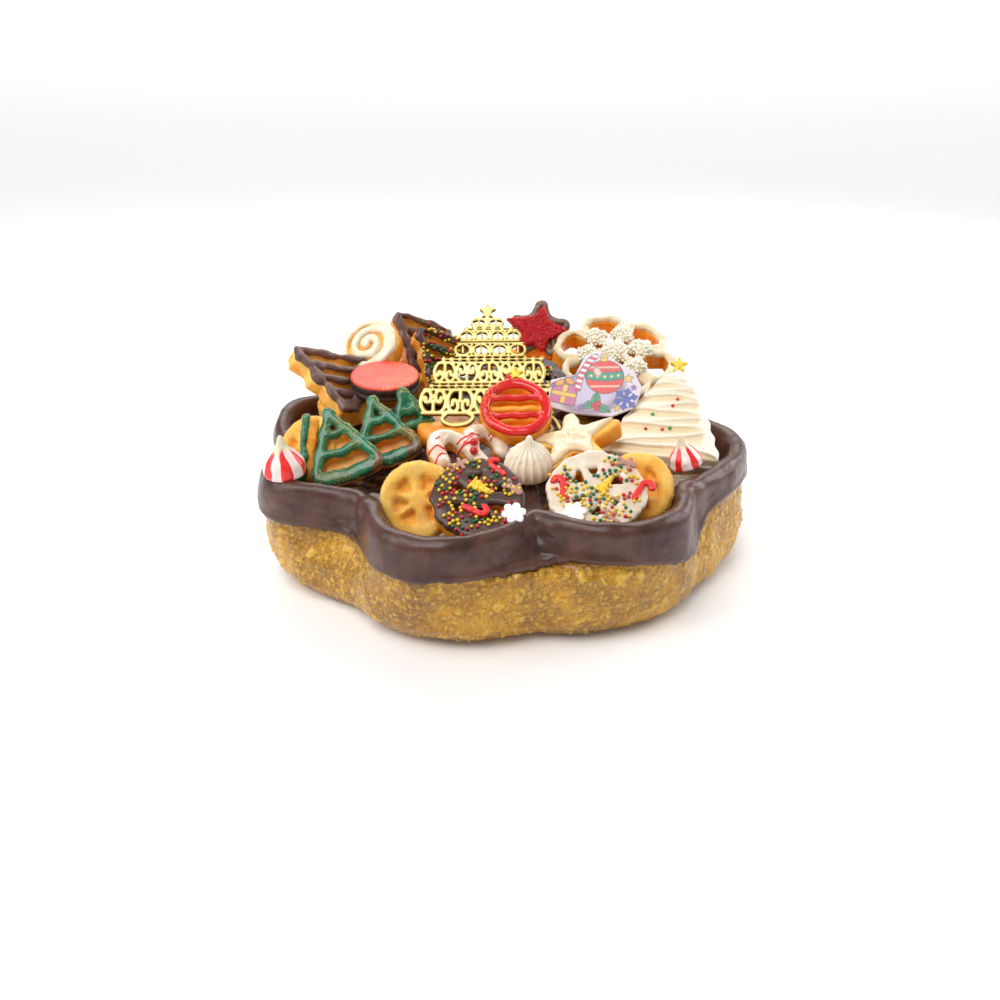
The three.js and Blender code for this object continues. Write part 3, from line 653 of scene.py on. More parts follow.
def build_ring():
    # closer columns at the front than behind
    front = 184 + 172 * np.arange(440) / 440
    back = 356 + 188 * np.arange(230) / 230
    deg = np.concatenate([front, back])
    cols = len(deg)
    # rows: under, up the side, over the crest (under the coat), the top inwards
    zs = np.concatenate([[0, 0.4, 1.2, 2.4, 4], np.linspace(5, 51, 54), [55, 59, 62.5]])
    D, Zs = np.meshgrid(deg, zs, indexing="ij")
    R = side_radius(D, Zs)
    Zw = Zs.copy()
    crest = soft_outline(deg) - RIM_INSET
    ins = np.concatenate([[0.0, 2.0, 4.0, 6.0, 8.0, 10.0, 12.0], []])
    Rt = crest[:, None] - ins[None, :]
    Zt = top_height(deg[:, None] + 0 * Rt, Rt)
    Zt[:, 0] = rim_top(deg)
    inner = Rt[:, -1]
    fr = np.linspace(0, 1, 19)[1:]
    Ri = inner[:, None] * (1 - fr)[None, :] + 1.0 * fr[None, :]
    Zi = top_height(deg[:, None] + 0 * Ri, Ri)
    R = np.concatenate([R, Rt, Ri], 1)
    Z = np.concatenate([Zw, Zt, Zi], 1)
    rows = R.shape[1]
    Dg = np.repeat(deg[:, None], rows, 1)
    V = revolve(R, Z, Dg).reshape(-1, 3)
    F = grid_faces(rows, cols)
    # close the two ends
    n0 = len(V)
    V = np.concatenate([V, [[0, 0, 0], [0, 0, HUB_Z]]])
    i = np.arange(cols)
    j = (i + 1) % cols
    T1 = np.stack([np.full(cols, n0), j * rows, i * rows], 1)
    T2 = np.stack([np.full(cols, n0 + 1), i * rows + rows - 1, j * rows + rows - 1], 1)
    N = normals(V, F)
    # blisters and lumps
    arc = np.radians(Dg) * 147
    t = np.where(Z < 52, Z, 52 + (R.max(1)[:, None] - R))
    S, T = arc.reshape(-1), np.concatenate([np.where(np.arange(rows) < len(zs), Z, 60 + (150 - R))]).reshape(-1)
    arcw = S + 1.2 * vnoise(V[:n0] / 9, 3)
    tw = T + 1.2 * vnoise(V[:n0] / 9, 4)
    b1 = cells(arcw, tw, 3.6, 11, 0.9, 1.9, 0.75)
    b2 = cells(arcw + 50, tw + 9, 11.0, 23, 1.8, 3.6, 0.45)
    b3 = cells(arcw + 20, tw + 3, 2.3, 5, 0.7, 1.2, 0.8)
    lump = fbm(V[:n0] / 19, 2, 31) * 1.5 + fbm(V[:n0] / 7, 2, 37) * 0.75
    bl = 0.55 * b1 + 0.36 * b2 + 0.6 * b3
    low = V[:n0, 2]
    side = np.tile(np.arange(rows) < len(zs), cols)
    w = np.where(side, smooth(0.2, 5, low), 0.45)
    disp = (bl * 0.75 + lump - 1.0) * w
    disp = np.where(side & (low > 49), -0.6, disp)
    V2 = V.copy()
    V2[:n0] += N[:n0] * disp[:, None]
    V2[:, 2] = np.maximum(V2[:, 2], 0)
    r = np.hypot(V[:n0, 0], V[:n0, 1])
    dd = Dg.reshape(-1)
    web = 1 - smooth(WEB_HALF + 1, WEB_HALF + 8, web_distance(dd, r))
    hub = 1 - smooth(HUB_R + 3, HUB_R + 12, r)
    wall_in = 1 - smooth(8, 15, (soft_outline(dd) - RIM_INSET) - r)
    choc = np.maximum(np.maximum(web, hub), wall_in) + 0.25 * fbm(V[:n0] / 12, 2, 51)
    # Every point of the inner floor gets at least half chocolate, so the gaps between the toppings come out dark:
    # chocolate, and partly painted shade under the toppings.
    choc = np.maximum(choc, 0.5 + 0.3 * fbm(V[:n0] / 13, 2, 57))
    choc = np.where(side, 0.0, choc)
    tone = np.clip(0.5 + 0.35 * fbm(V[:n0] / 22, 3, 71) - 0.12 * (low < 6), 0, 1)
    z = np.zeros(2)
    obj("ring_dough", V2, [F, T1, T2], WALL, dict(
        tone=np.concatenate([tone, z]), blister=np.concatenate([np.clip(bl / 1.5, 0, 1), z]), choc=np.concatenate([np.clip(choc, 0, 1), [0, 1]])),
        nodes="fritter_ring", slot="fried_dough")


def build_coat():
    cols = 680
    deg = 186 + 360 * np.arange(cols) / cols
    x, y = np.cos(np.radians(deg)), np.sin(np.radians(deg))
    C = np.stack([x * 147, y * 147, 0 * x], 1)
    run = np.interp(np.mod(deg - 180, 360) + 180, [180, 188, 196, 205, 220, 256, 263, 269, 275, 279, 283, 287, 294, 302, 310, 316, 320, 326, 333, 345, 360, 390, 540],
                    [7, 8, 4, 1, 0, 0, -2.0, -2.0, -1.0, 0.5, 3.0, 4.5, 4, 2, -3, -7, -7, 0, 7, 8, 5, 0, 7])
    for _ in range(10):
        run = (np.roll(run, 1) + 2 * run + np.roll(run, -1)) / 4
    h = hem(deg) + run + 0.8 * vnoise(C / 11, 91) + 0.45 * vnoise(C / 4.0, 92) + 0.3 * vnoise(C / 1.7, 93)
    lip = 14.0 + 2.6 * vnoise(C / 15, 94) + 1.3 * vnoise(C / 5, 95)      # how far the coat runs in
    crest = soft_outline(deg) - RIM_INSET
    top = rim_top(deg)
    # the path over the rim, as a smooth arc between the outer wall and the inner wall
    out_t = np.linspace(0, 1, 30)
    zo = h[:, None] + (62.0 - h[:, None]) * out_t[None, :]
    D = deg[:, None] + 0 * zo
    Ro = side_radius(D, zo)
    # lower down the notches fade into one another
    wide = sum(k * outline(deg + d) for d, k in ((-7, 0.12), (-4, 0.2), (-1.5, 0.18), (1.5, 0.18), (4, 0.2), (7, 0.12)))
    Ro = Ro + np.clip(wide - soft_outline(deg), 0, 4.0)[:, None] * smooth(61.5, 44, zo) * 0.6
    ang = np.linspace(0, 1, 14)[1:]
    # quarter round from the wall at 62 to the crest
    r0 = Ro[:, -1]
    Ra = crest[:, None] + (r0 - crest)[:, None] * np.cos(ang * np.pi / 2)[None, :]
    Za = 62.0 + (top - 62.0)[:, None] * np.sin(ang * np.pi / 2)[None, :]
    fr = np.linspace(0, 1, 18)[1:]
    Rn = crest[:, None] - lip[:, None] * fr[None, :]
    Zn = top_height(deg[:, None] + 0 * Rn, Rn)
    R = np.concatenate([Ro, Ra, Rn], 1)
    Z = np.concatenate([zo, Za, Zn], 1)
    for _ in range(12):
        R[:, 1:-1] = (R[:, :-2] + 2 * R[:, 1:-1] + R[:, 2:]) / 4
        Z[:, 1:-1] = (Z[:, :-2] + 2 * Z[:, 1:-1] + Z[:, 2:]) / 4
    rows = R.shape[1]
    Dg = np.repeat(deg[:, None], rows, 1)
    B = revolve(R, Z, Dg)
    V = B.reshape(-1, 3)
    F = grid_faces(rows, cols)
    N = normals(V, F).reshape(cols, rows, 3)
    # normals a little blurred along the rim, so that the skin doesn't fold in the notches
    for _ in range(6):
        N = (np.roll(N, 1, 0) + N * 2 + np.roll(N, -1, 0)) / 4
    N /= np.linalg.norm(N, axis=2, keepdims=True)
    s = np.linspace(0, 1, rows)[None, :]
    L = np.cumsum(np.concatenate([np.zeros((cols, 1)), np.linalg.norm(np.diff(B, axis=1), axis=2)], 1), 1)
    Lt = L[:, -1:]
    edge = np.minimum(L, Lt - L)
    thick = 2.6 * (1 - (1 - np.clip(edge / 3.2, 0, 1)) ** 2) ** 0.5 + 0.35 * np.exp(-((edge - 3.0) / 1.8) ** 2)
    Vf = V
    wav = 1.5 * fbm(Vf / [27, 27, 17], 3, 101) + 0.5 * fbm(Vf / [9, 9, 7], 2, 103)
    wav = wav.reshape(cols, rows)
    # shallow vertical draws where the chocolate ran
    ar = np.radians(Dg) * 147
    runs = vnoise(np.stack([ar.ravel() / 11, Z.ravel() / 60, 0 * ar.ravel()], 1), 105).reshape(cols, rows)
    wav = wav + 0.35 * runs * smooth(40, 55, Z) * (Z < 66)
    # folds of the lip beside the notches
    def blob(d0, z0, sd, sz, amp, side=0):
        dd = (Dg - d0 + 180) % 360 - 180
        return amp * np.exp(-(dd / sd) ** 2 - ((L - z0) / sz) ** 2)
    L = L + (h - 45.5)[:, None]          # measured up from the common hem, so that the folds stay in place
    folds = (blob(232.5, 22, 1.8, 4.5, 1.7) + blob(227.0, 21, 2.4, 7, -0.9) + blob(235, 27, 3.0, 3.5, 1.4) + blob(283, 24, 5.5, 8, 0.5)
             + blob(324.5, 26, 2.4, 5, 1.5) + blob(318, 24, 2.6, 7, 0.9) + blob(240, 29, 2.5, 2.2, 0.8) + blob(245.5, 28, 2.2, 2.2, -0.5)
             + blob(266, 28, 2.4, 2.4, 0.7) + blob(300, 28, 2.6, 2.4, 0.6) + blob(214, 28, 3.0, 2.6, 0.6)
             + blob(189, 26, 2.0, 5, 1.2) + blob(206, 25, 4.0, 3, 0.8) + blob(252, 27, 5.0, 3, 0.7) + blob(308, 27, 5.0, 3.0, 0.7)
             + blob(262, 26, 3, 3, -0.5) + blob(295, 27, 3, 3, 0.6) + blob(342, 26, 3, 4, 0.9) + blob(24, 26, 3, 5, 1.2))
    body = smooth(0.6, 9.0, edge)
    off = thick + (wav + folds) * body
    off = np.maximum(off, 0.25)
    O = B + N * off[..., None]
    pick = np.unique(np.linspace(0, rows - 1, 10).astype(int))
    few = len(pick)
    I = (B - N * 0.45)[:, pick]
    Vo, Vi = O.reshape(-1, 3), I.reshape(-1, 3)
    n = len(Vo)
    F2 = grid_faces(few, cols, n)[:, ::-1]
    i = np.arange(cols)
    j = (i + 1) % cols
    rim1 = np.stack([i * rows, n + i * few, n + j * few, j * rows], 1)
    rim2 = np.stack([i * rows + rows - 1, j * rows + rows - 1, n + j * few + few - 1, n + i * few + few - 1], 1)
    obj("chocolate_skin", np.concatenate([Vo, Vi]), np.concatenate([F, F2, rim1, rim2]), CHOC, nodes="chocolate_coat", slot="chocolate")


build_ring()
build_coat()

# =====================================================================================
# fritters and icing
# =====================================================================================
GREEN = icing("green_icing", srgb(2, 122, 84), srgb(0, 92, 64), 0.2, flecks=(srgb(240, 226, 130), 0.45, 0.40, 0.58, 1.0), sss=0.08, patch=srgb(104, 72, 62))
IVORY = icing("ivory_icing", srgb(235, 219, 186), srgb(220, 194, 150), 0.26)
WHITE = icing("white_icing", srgb(237, 224, 206), srgb(220, 197, 168), 0.2)
RED = icing("red_icing", srgb(232, 34, 34), srgb(204, 16, 20), 0.16, sss=0.1, shimmer=(srgb(250, 226, 150), 0.5, 0.2, 0.5, 1.0))
CHOC_ICING = chocolate("chocolate_icing", gold=0.0, base=(88, 62, 56), dark=(66, 44, 38))
CHOC_GOLD = chocolate("chocolate_icing_gold", gold=0.8, base=(112, 84, 76), dark=(84, 60, 52))
DARK_CHOC = chocolate("dark_chocolate", base=(58, 40, 36), dark=(40, 27, 24))


def local_box(n, half, lo, hi):
    return (-half[0], -half[1], lo), (half[0], half[1], hi)


def dough_field(d2, thick, top=-1.0, r=2.6, r_low=3.4, wob=0.55, seed=0, dip=0.0):
    def f(P):
        n = vnoise(P / 8.5, seed) + 0.5 * vnoise(P / 3.9, seed + 1)
        m = vnoise(P / 7.0, seed + 2) + 0.35 * vnoise(P / 2.6, seed + 3)
        return plate(d2(P[:, 0], P[:, 1]) - wob * n, P[:, 2] - 0.45 * m, -thick, top, r, r_low)
    return f


def pitted_field(body, holes, thick, depth, top=-0.6, r=3.2, r_low=3.6, wob=0.5, seed=0):
    """A puffed fritter with blind hollows."""
    def f(P):
        n = vnoise(P / 8.5, seed) + 0.5 * vnoise(P / 3.9, seed + 1)
        m = vnoise(P / 7.0, seed + 2) + 0.35 * vnoise(P / 2.6, seed + 3)
        U, W = P[:, 0], P[:, 1]
        w = P[:, 2] - 0.5 * m
        x = plate(body(U, W) - wob * n, w, -thick, top, r, r_low)
        y = plate(holes(U, W) - 0.5 * n, w, -depth, 8, 1.2)
        return smax(x, -y, 3.4 if depth < 6 else 2.0)
    return f


def inset_pts(pts, k):
    """Pull an outline in towards its middle by k."""
    p = np.asarray(pts, float)
    c = p.mean(0)
    d = p - c
    L = np.maximum(1e-6, np.linalg.norm(d, axis=1))[:, None]
    return c + d * np.maximum(0.2, 1 - k / L)


def icing_field(d2, inset=0.2, top=0.5, low=-2.6, r=2.0, wob=0.7, drip=1.3, seed=0):
    def f(P):
        Q = P.copy()
        Q[:, 2] = 0
        n = vnoise(Q / 6.2, seed + 5) + 0.45 * vnoise(Q / 2.7, seed + 6)
        lo = low + drip * vnoise(Q / 5.0, seed + 7)
        m = vnoise(P / 6.5, seed + 8)
        half = (top - lo) / 2
        mid = (top + lo) / 2
        w = P[:, 2] - 0.3 * m
        d = d2(P[:, 0], P[:, 1]) + inset - wob * n
        rr = np.where(w > mid, r, 1.0)
        dw = np.abs(w - mid) - half
        a, b = d + rr, dw + rr
        return np.hypot(np.maximum(a, 0), np.maximum(b, 0)) + np.minimum(np.maximum(a, b), 0) - rr
    return f


def solid(name, pose, f, lo, hi, h, mat, node=(), slot=None, choc=None, tone=0.0, extra=None, seed=0, cut=None):
    """Mesh a field in a piece's own frame and stand it on its pose."""
    g = f if cut is None else (lambda P: np.maximum(f(P), cut(P)))
    V, F = nets(g, lo, hi, h * 1.25)
    at = dict(tone=np.clip(0.5 + tone + 0.3 * fbm(V / 9, 2, seed + 40) + 0.2 * smooth(-6, 0, V[:, 2]) - 0.12, 0, 1))
    if choc is not None:
        at["choc"] = np.clip(choc(V), 0, 1)
    for k, fn in (extra or {}).items():
        at[k] = fn(V)
    W = pose.out(V)
    W[:, 2] = np.maximum(W[:, 2], 0.3)
    obj(name, W, F, mat, at, nodes=node, slot=slot)
    return V, F


def cast(f, UV, w0=4.0, w1=-9.0):
    """Drop points of the face plane onto a field."""
    P = np.concatenate([np.asarray(UV, float), np.full((len(UV), 1), w0)], 1)
    for _ in range(60):
        d = f(P)
        P[:, 2] -= np.clip(d * 0.7, -0.3, 1.0)
    ok = (np.abs(f(P)) < 0.12) & (P[:, 2] > w1)
    return P, ok


def gradient(f, P, e=0.15):
    g = np.stack([f(P + np.eye(3)[i] * e) - f(P - np.eye(3)[i] * e) for i in range(3)], 1)
    return g / np.maximum(1e-9, np.linalg.norm(g, axis=1))[:, None]


EYE = np.array([4.0, -508.0, 275.678])


def sight(pose, f, marks, far=620.0):
    """Where the lines of sight through points of the 1000-wide view meet a field; in the piece's frame."""
    out = []
    for px, py in marks:
        v = (py - 500) / 880
        d = np.array([(px - 511) / 880, 0.8965 - 0.4431 * v, -(0.4431 + 0.8965 * v)])
        d /= np.linalg.norm(d)
        t = np.linalg.norm(pose.at - EYE) - 60
        for _ in range(90):
            p = pose.into((EYE + d * t)[None, :])
            s = float(f(p)[0])
            t += max(min(s * 0.7, 3), -0.3)
            if abs(s) < 0.03:
                break
        out.append(p[0])
    return np.array(out)


# small shapes ---------------------------------------------------------------------------
def ico(n=1):
    t = (1 + 5 ** 0.5) / 2
    V = np.array([(-1, t, 0), (1, t, 0), (-1, -t, 0), (1, -t, 0), (0, -1, t), (0, 1, t), (0, -1, -t), (0, 1, -t), (t, 0, -1), (t, 0, 1), (-t, 0, -1), (-t, 0, 1)], float)
    F = np.array([(0, 11, 5), (0, 5, 1), (0, 1, 7), (0, 7, 10), (0, 10, 11), (1, 5, 9), (5, 11, 4), (11, 10, 2), (10, 7, 6), (7, 1, 8),
                  (3, 9, 4), (3, 4, 2), (3, 2, 6), (3, 6, 8), (3, 8, 9), (4, 9, 5), (2, 4, 11), (6, 2, 10), (8, 6, 7), (9, 8, 1)])
    V /= np.linalg.norm(V, axis=1)[:, None]
    for _ in range(n):
        mid, V2, F2 = {}, list(V), []

        def m(a, b):
            k = (min(a, b), max(a, b))
            if k not in mid:
                v = V2[a] + V2[b]
                mid[k] = len(V2)
                V2.append(v / np.linalg.norm(v))
            return mid[k]
        for a, b, c in F:
            x, y, z = m(a, b), m(b, c), m(c, a)
            F2 += [(a, x, z), (b, y, x), (c, z, y), (x, y, z)]
        V, F = np.array(V2), np.array(F2)
    return V, F


BALL = ico(1)
GRAIN = (np.array([(1, 0, 0), (-1, 0, 0), (0, 1, 0), (0, -1, 0), (0, 0, 1), (0, 0, -1)], float),
         np.array([(0, 2, 4), (2, 1, 4), (1, 3, 4), (3, 0, 4), (2, 0, 5), (1, 2, 5), (3, 1, 5), (0, 3, 5)]))


def turns(rng, n, N=None, free=True):
    """n rotations; with N given their z lies along N."""
    if N is None:
        N = rng.normal(size=(n, 3))
    N = N / np.linalg.norm(N, axis=1)[:, None]
    a = rng.normal(size=(n, 3))
    x = np.cross(a, N)
    x /= np.linalg.norm(x, axis=1)[:, None]
    y = np.cross(N, x)
    return np.stack([x, y, N], 1)          # rows are the axes


def many(base, P, R, S):
    """Copies of a small mesh: places P, axes R (rows), sizes S (n,3) or (n,)."""
    V, F = base
    S = np.asarray(S, float)
    if S.ndim == 1:
        S = np.repeat(S[:, None], 3, 1)
    W = np.einsum("nvk,nkj->nvj", V[None] * S[:, None, :], R) + P[:, None, :]
    n = len(P)
    FF = F[None] + (np.arange(n) * len(V))[:, None, None]
    return W.reshape(-1, 3), FF.reshape(-1, F.shape[1])


def spread(rng, pts, gap, limit):
    """Keep points at least gap apart, in their order."""
    keep = []
    for p in pts:
        if len(keep) >= limit:
            break
        if all((p[0] - q[0]) ** 2 + (p[1] - q[1]) ** 2 + (p[2] - q[2]) ** 2 > gap * gap for q in keep):
            keep.append(p)
    return np.array(keep)


def surface_points(rng, V, F, n, mask=None):
    """Random points of a mesh with their normals."""
    A, B, C, D = (V[F[:, i]] for i in range(4))
    nn = np.cross(C - A, D - B)
    ar = np.linalg.norm(nn, axis=1)
    nn = nn / np.maximum(1e-9, ar)[:, None]
    mid = (A + B + C + D) / 4
    w = ar if mask is None else ar * mask(mid, nn)
    k = rng.choice(len(F), n, p=w / w.sum())
    s, t = rng.uniform(size=(n, 1)), rng.uniform(size=(n, 1))
    P = (A[k] * (1 - s) + B[k] * s) * (1 - t) + (D[k] * (1 - s) + C[k] * s) * t
    return P, nn[k]


def tube(pts, N, r, flat=0.7, sides=8, ends=True):
    """A soft thread along points, N the surface normals there."""
    pts, N = np.asarray(pts, float), np.asarray(N, float)
    n = len(pts)
    r = np.broadcast_to(np.asarray(r, float), (n,)).copy()
    T = np.gradient(pts, axis=0)
    T /= np.maximum(1e-9, np.linalg.norm(T, axis=1))[:, None]
    B = np.cross(T, N)
    B /= np.maximum(1e-9, np.linalg.norm(B, axis=1))[:, None]
    M = np.cross(B, T)
    a = np.linspace(0, 2 * np.pi, sides, endpoint=False)
    V = pts[:, None, :] + r[:, None, None] * (np.cos(a)[None, :, None] * B[:, None, :] + flat * np.sin(a)[None, :, None] * M[:, None, :])
    V = V.reshape(-1, 3)
    i, j = np.meshgrid(np.arange(n - 1), np.arange(sides), indexing="ij")
    p = i * sides + j
    q = i * sides + (j + 1) % sides
    F = np.stack([p, p + sides, q + sides, q], -1).reshape(-1, 4)
    k = len(V)
    V = np.concatenate([V, [pts[0] - T[0] * r[0] * 0.6, pts[-1] + T[-1] * r[-1] * 0.6]])
    s = np.arange(sides)
    T1 = np.stack([np.full(sides, k), s, (s + 1) % sides], 1)
    T2 = np.stack([np.full(sides, k + 1), (n - 1) * sides + (s + 1) % sides, (n - 1) * sides + s], 1)
    return V, F, np.concatenate([T1, T2])


def join(parts):
    """Several (V, quads, triangles) as one."""
    V, Q, T, k = [], [], [], 0
    for v, q, t in parts:
        V.append(v)
        if len(q):
            Q.append(np.asarray(q) + k)
        if len(t):
            T.append(np.asarray(t) + k)
        k += len(v)
    return np.concatenate(V), [np.concatenate(x) for x in (Q, T) if x]


def smooth_path(pts, n):
    """Catmull-Rom through points, n samples."""
    p = np.asarray(pts, float)
    p = np.concatenate([[2 * p[0] - p[1]], p, [2 * p[-1] - p[-2]]])
    m = len(p) - 3
    t = np.linspace(0, m - 1e-6, n)
    k = t.astype(int)
    s = (t - k)[:, None]
    a, b, c, d = p[k], p[k + 1], p[k + 2], p[k + 3]
    return 0.5 * (2 * b + (c - a) * s + (2 * a - 5 * b + 4 * c - d) * s * s + (3 * b - a - 3 * c + d) * s ** 3)


def turned(name, pose, prof, cols, mat, rows=60, shape=None, attrs=None, node=(), slot=None, soften=2):
    """A body turned about its own z; shape(R, Z, T) moves it."""
    p = np.array(prof, float)
    L = np.concatenate([[0], np.cumsum(np.hypot(*np.diff(p, axis=0).T))])
    s = np.linspace(0, L[-1], rows)
    r, z = np.interp(s, L, p[:, 0]), np.interp(s, L, p[:, 1])
    for _ in range(soften):
        r[1:-1] = (r[:-2] + 2 * r[1:-1] + r[2:]) / 4
        z[1:-1] = (z[:-2] + 2 * z[1:-1] + z[2:]) / 4
    r, z = r[1:-1], z[1:-1]
    a = np.linspace(0, 2 * np.pi, cols, endpoint=False)
    R, Z, T = np.repeat(r[None, :], cols, 0), np.repeat(z[None, :], cols, 0), np.repeat(a[:, None], len(r), 1)
    if shape:
        R, Z = shape(R, Z, T)
    V = np.stack([R * np.cos(T), R * np.sin(T), Z], -1).reshape(-1, 3)
    n = len(V)
    k = len(r)
    F = grid_faces(k, cols)
    Z0, Z1 = p[0, 1] if not shape else float(np.mean(Z[:, 0])), p[-1, 1] if not shape else float(np.mean(Z[:, -1]))
    V = np.concatenate([V, [[0, 0, Z0], [0, 0, p[-1, 1]]]])
    i = np.arange(cols)
    j = (i + 1) % cols
    T1 = np.stack([np.full(cols, n), j * k, i * k], 1)
    T2 = np.stack([np.full(cols, n + 1), i * k + k - 1, j * k + k - 1], 1)
    at = {key: fn(V) for key, fn in (attrs or {}).items()}
    obj(name, pose.out(V), [F, T1, T2], mat, at, nodes=node, slot=slot)
    return V


# outlines ------------------------------------------------------------------------------
def disc(R):
    return lambda U, W: np.hypot(U, W) - R


def wedge_holes(r, n=6, lo=0.3, hi=0.66, turn=0.0, soft=0.9, wide=0.52):
    tri = []
    for k in range(n):
        a = k / n * 2 * math.pi + turn + 0.13 * math.sin(2.3 * k + r)
        w = math.pi / n * (1 + 0.22 * math.sin(4.1 * k + 2 * r))
        tri.append([(math.cos(a) * r * lo, math.sin(a) * r * lo), (math.cos(a + w * wide) * r * hi, math.sin(a + w * wide) * r * hi),
                    (math.cos(a - w * wide) * r * hi, math.sin(a - w * wide) * r * hi)])

    def d(U, W):
        out = None
        for t in tri:
            x = poly(U, W, t) - soft
            out = x if out is None else np.minimum(out, x)
        return out
    return d


def minus(body, holes, k=1.6):
    return lambda U, W: smax(body(U, W), -holes(U, W), k)


def tree_outline(w, h, cells, steps=0, bar=4.5, soft=1.6, hole_soft=1.3):
    half = lambda y: (w / 2) * (1 - y / h) + w * 0.07
    right = [(w * 0.3, -h * 0.03), (w / 2, 0)] if steps else [(w * 0.16, -h * 0.13), (w * 0.4, -h * 0.09), (w / 2, 0)]
    if steps:
        for k in range(steps):
            y0, y1 = h * (k + 0.55) / (steps + 0.4), h * (k + 1) / (steps + 0.4)
            right += [(half(y0) * 1.08, y0 * 0.98), (half(y1) * 0.84 + 1, y1 * 0.97)]
    else:
        right += [(half(h * 0.35), h * 0.33), (half(h * 0.7), h * 0.7)]
    right.append((w * 0.085, h * 0.965))
    outer = [(x, y - 0.42 * h) for x, y in right] + [(-x, y - 0.42 * h) for x, y in right[::-1]]
    holes, top = [], h * 0.86
    pitch = (top - bar * 0.4) / cells
    for k in range(cells):
        lo = bar * 0.55 + pitch * k + (bar * 0.3 if k else 0)
        hi = min(top, pitch * (k + 1) - bar * 0.35)
        a = max(1.2, half(lo) - bar * (1.25 if steps else 1.05))
        b = max(0.5, half(hi) - bar * (1.45 if steps else 1.15))
        lift = 0.10 * a if not steps else 0.0
        holes.append([(-a, lo - 0.42 * h + lift), (-b, hi - 0.42 * h), (b, hi - 0.42 * h), (a, lo - 0.42 * h + lift), (0, lo - 0.42 * h - lift * 0.6)])
    outer = inset_pts(outer, soft)
    holes = [inset_pts(t, hole_soft) for t in holes]

    def body(U, W):
        return poly(U, W, outer) - soft * 0.9

    def cell(U, W):
        hh = None
        for t in holes:
            y = poly(U, W, t) - hole_soft * 0.75
            hh = y if hh is None else np.minimum(hh, y)
        return hh
    return body, cell, lambda U, W: smax(body(U, W), -cell(U, W), 1.8)


def rope_tree(w, h, r=2.15):
    """A fir bent from a thick rope with two bars across; the dough closes it behind."""
    o = 0.42 * h
    path = smooth_path([(0, 0.90 * h - o), (w * 0.22, 0.53 * h - o), (w * 0.45, 0.12 * h - o), (w * 0.36, 0.01 * h - o), (0, -0.02 * h - o),
                        (-w * 0.36, 0.01 * h - o), (-w * 0.45, 0.12 * h - o), (-w * 0.22, 0.53 * h - o), (0, 0.90 * h - o)], 40)
    bars = [[(-x, (y + 0.01) * h - o), (0, (y - 0.02) * h - o), (x, (y + 0.02) * h - o)] for x, y in ((w * 0.31, 0.35), (w * 0.175, 0.61))]
    low = [(-w * 0.36, 0.04 * h - o), (0, -0.01 * h - o), (w * 0.36, 0.04 * h - o)]

    def rope(U, W):
        x = line(U, W, path, r)
        for b in bars:
            x = smin(x, line(U, W, b, r * 0.95), 1.8)
        x = smin(x, line(U, W, low, r * 1.35), 1.2)
        return smin(x, np.hypot(U, W - (0.89 * h - o)) - r * 1.5, 1.2)

    def body(U, W):
        return smin(poly(U, W, path) - r * 0.6, rope(U, W), 0.5)
    return body, (lambda U, W: -rope(U, W)), rope


def star_arms(lengths, r0, r1, turn=0.0, k=2.5):
    """A star of rounded, tapering arms."""
    def d(U, W):
        out = None
        for i, R in enumerate(lengths):
            a = math.radians(90 + turn - 72 * i)
            c, q = math.cos(a), math.sin(a)
            t = np.clip((U * c + W * q) / R, 0, 1)
            x = np.hypot(U - t * R * c, W - t * R * q) - (r0 + (r1 - r0) * t)
            out = x if out is None else smin(out, x, k)
        return out
    return d


def star_outline(R, r, tips, blunt=0.12):
    pts = []
    for k in range(tips):
        a = math.pi / 2 + k / tips * 2 * math.pi
        b = a + math.pi / tips
        pts += [(math.cos(a - blunt) * R, math.sin(a - blunt) * R), (math.cos(a + blunt) * R, math.sin(a + blunt) * R)] if blunt else [(math.cos(a) * R, math.sin(a) * R)]
        pts.append((math.cos(b) * r, math.sin(b) * r))
    return lambda U, W: poly(U, W, pts)

# =====================================================================================
# round fritters
# =====================================================================================
rng = np.random.default_rng(41)
FIELD = {}                      # name -> (pose, dough and icing together), for what lies on them


def both(*fs):
    return lambda P: np.minimum.reduce([f(P) for f in fs])


def round_fritter(name, at, az, el, spin, r, thick, mat, h, wedges=6, choc=None, lo=0.3, hi=0.66, wide=0.52, seed=0, top=-0.6, tone=0.0, dent=None):
    pose = Pose(at, az, el, spin)
    body = disc(r - 0.2)
    if wedges:
        f = pitted_field(body, wedge_holes(r, wedges, lo, hi, wide=wide, soft=1.2), thick, 5.5, top=top, wob=0.8, seed=seed)
    else:
        f = dough_field(body, thick, top=top, r=3.2, r_low=3.6, wob=0.5, seed=seed)
    g = f if dent is None else (lambda P: f(P) + dent(P))
    V, F = solid(name + "_dough", pose, g, (-r - 1, -r - 1, -thick - 1), (r + 1, r + 1, 1.5), h, mat, node=name, slot="sugared_dough" if mat is SUGARED else None, choc=choc, seed=seed, tone=tone)
    FIELD[name] = (pose, g)
    return pose, g, V, F


def puff(P):
    """Soft hollows between the raised rim and spokes."""
    r = np.hypot(P[:, 0], P[:, 1])
    return 0.9 * np.exp(-((r - 10.5) / 3.6) ** 2) * smooth(-5, -2, P[:, 2])


H1, H2 = 0.95, 1.35
sugar_v = []


def dusting(name, pose, f, V, F, n, seed, size=0.3):
    g = np.random.default_rng(seed)
    P, N = surface_points(g, V, F, n, lambda m, nn: np.clip(nn[:, 2] + 0.35, 0, 1))
    W, FF = many(GRAIN, pose.out(P + N * 0.1), turns(g, n), g.uniform(0.5, 1.2, (n, 3)) * size)
    sugar_v.append((W, FF))


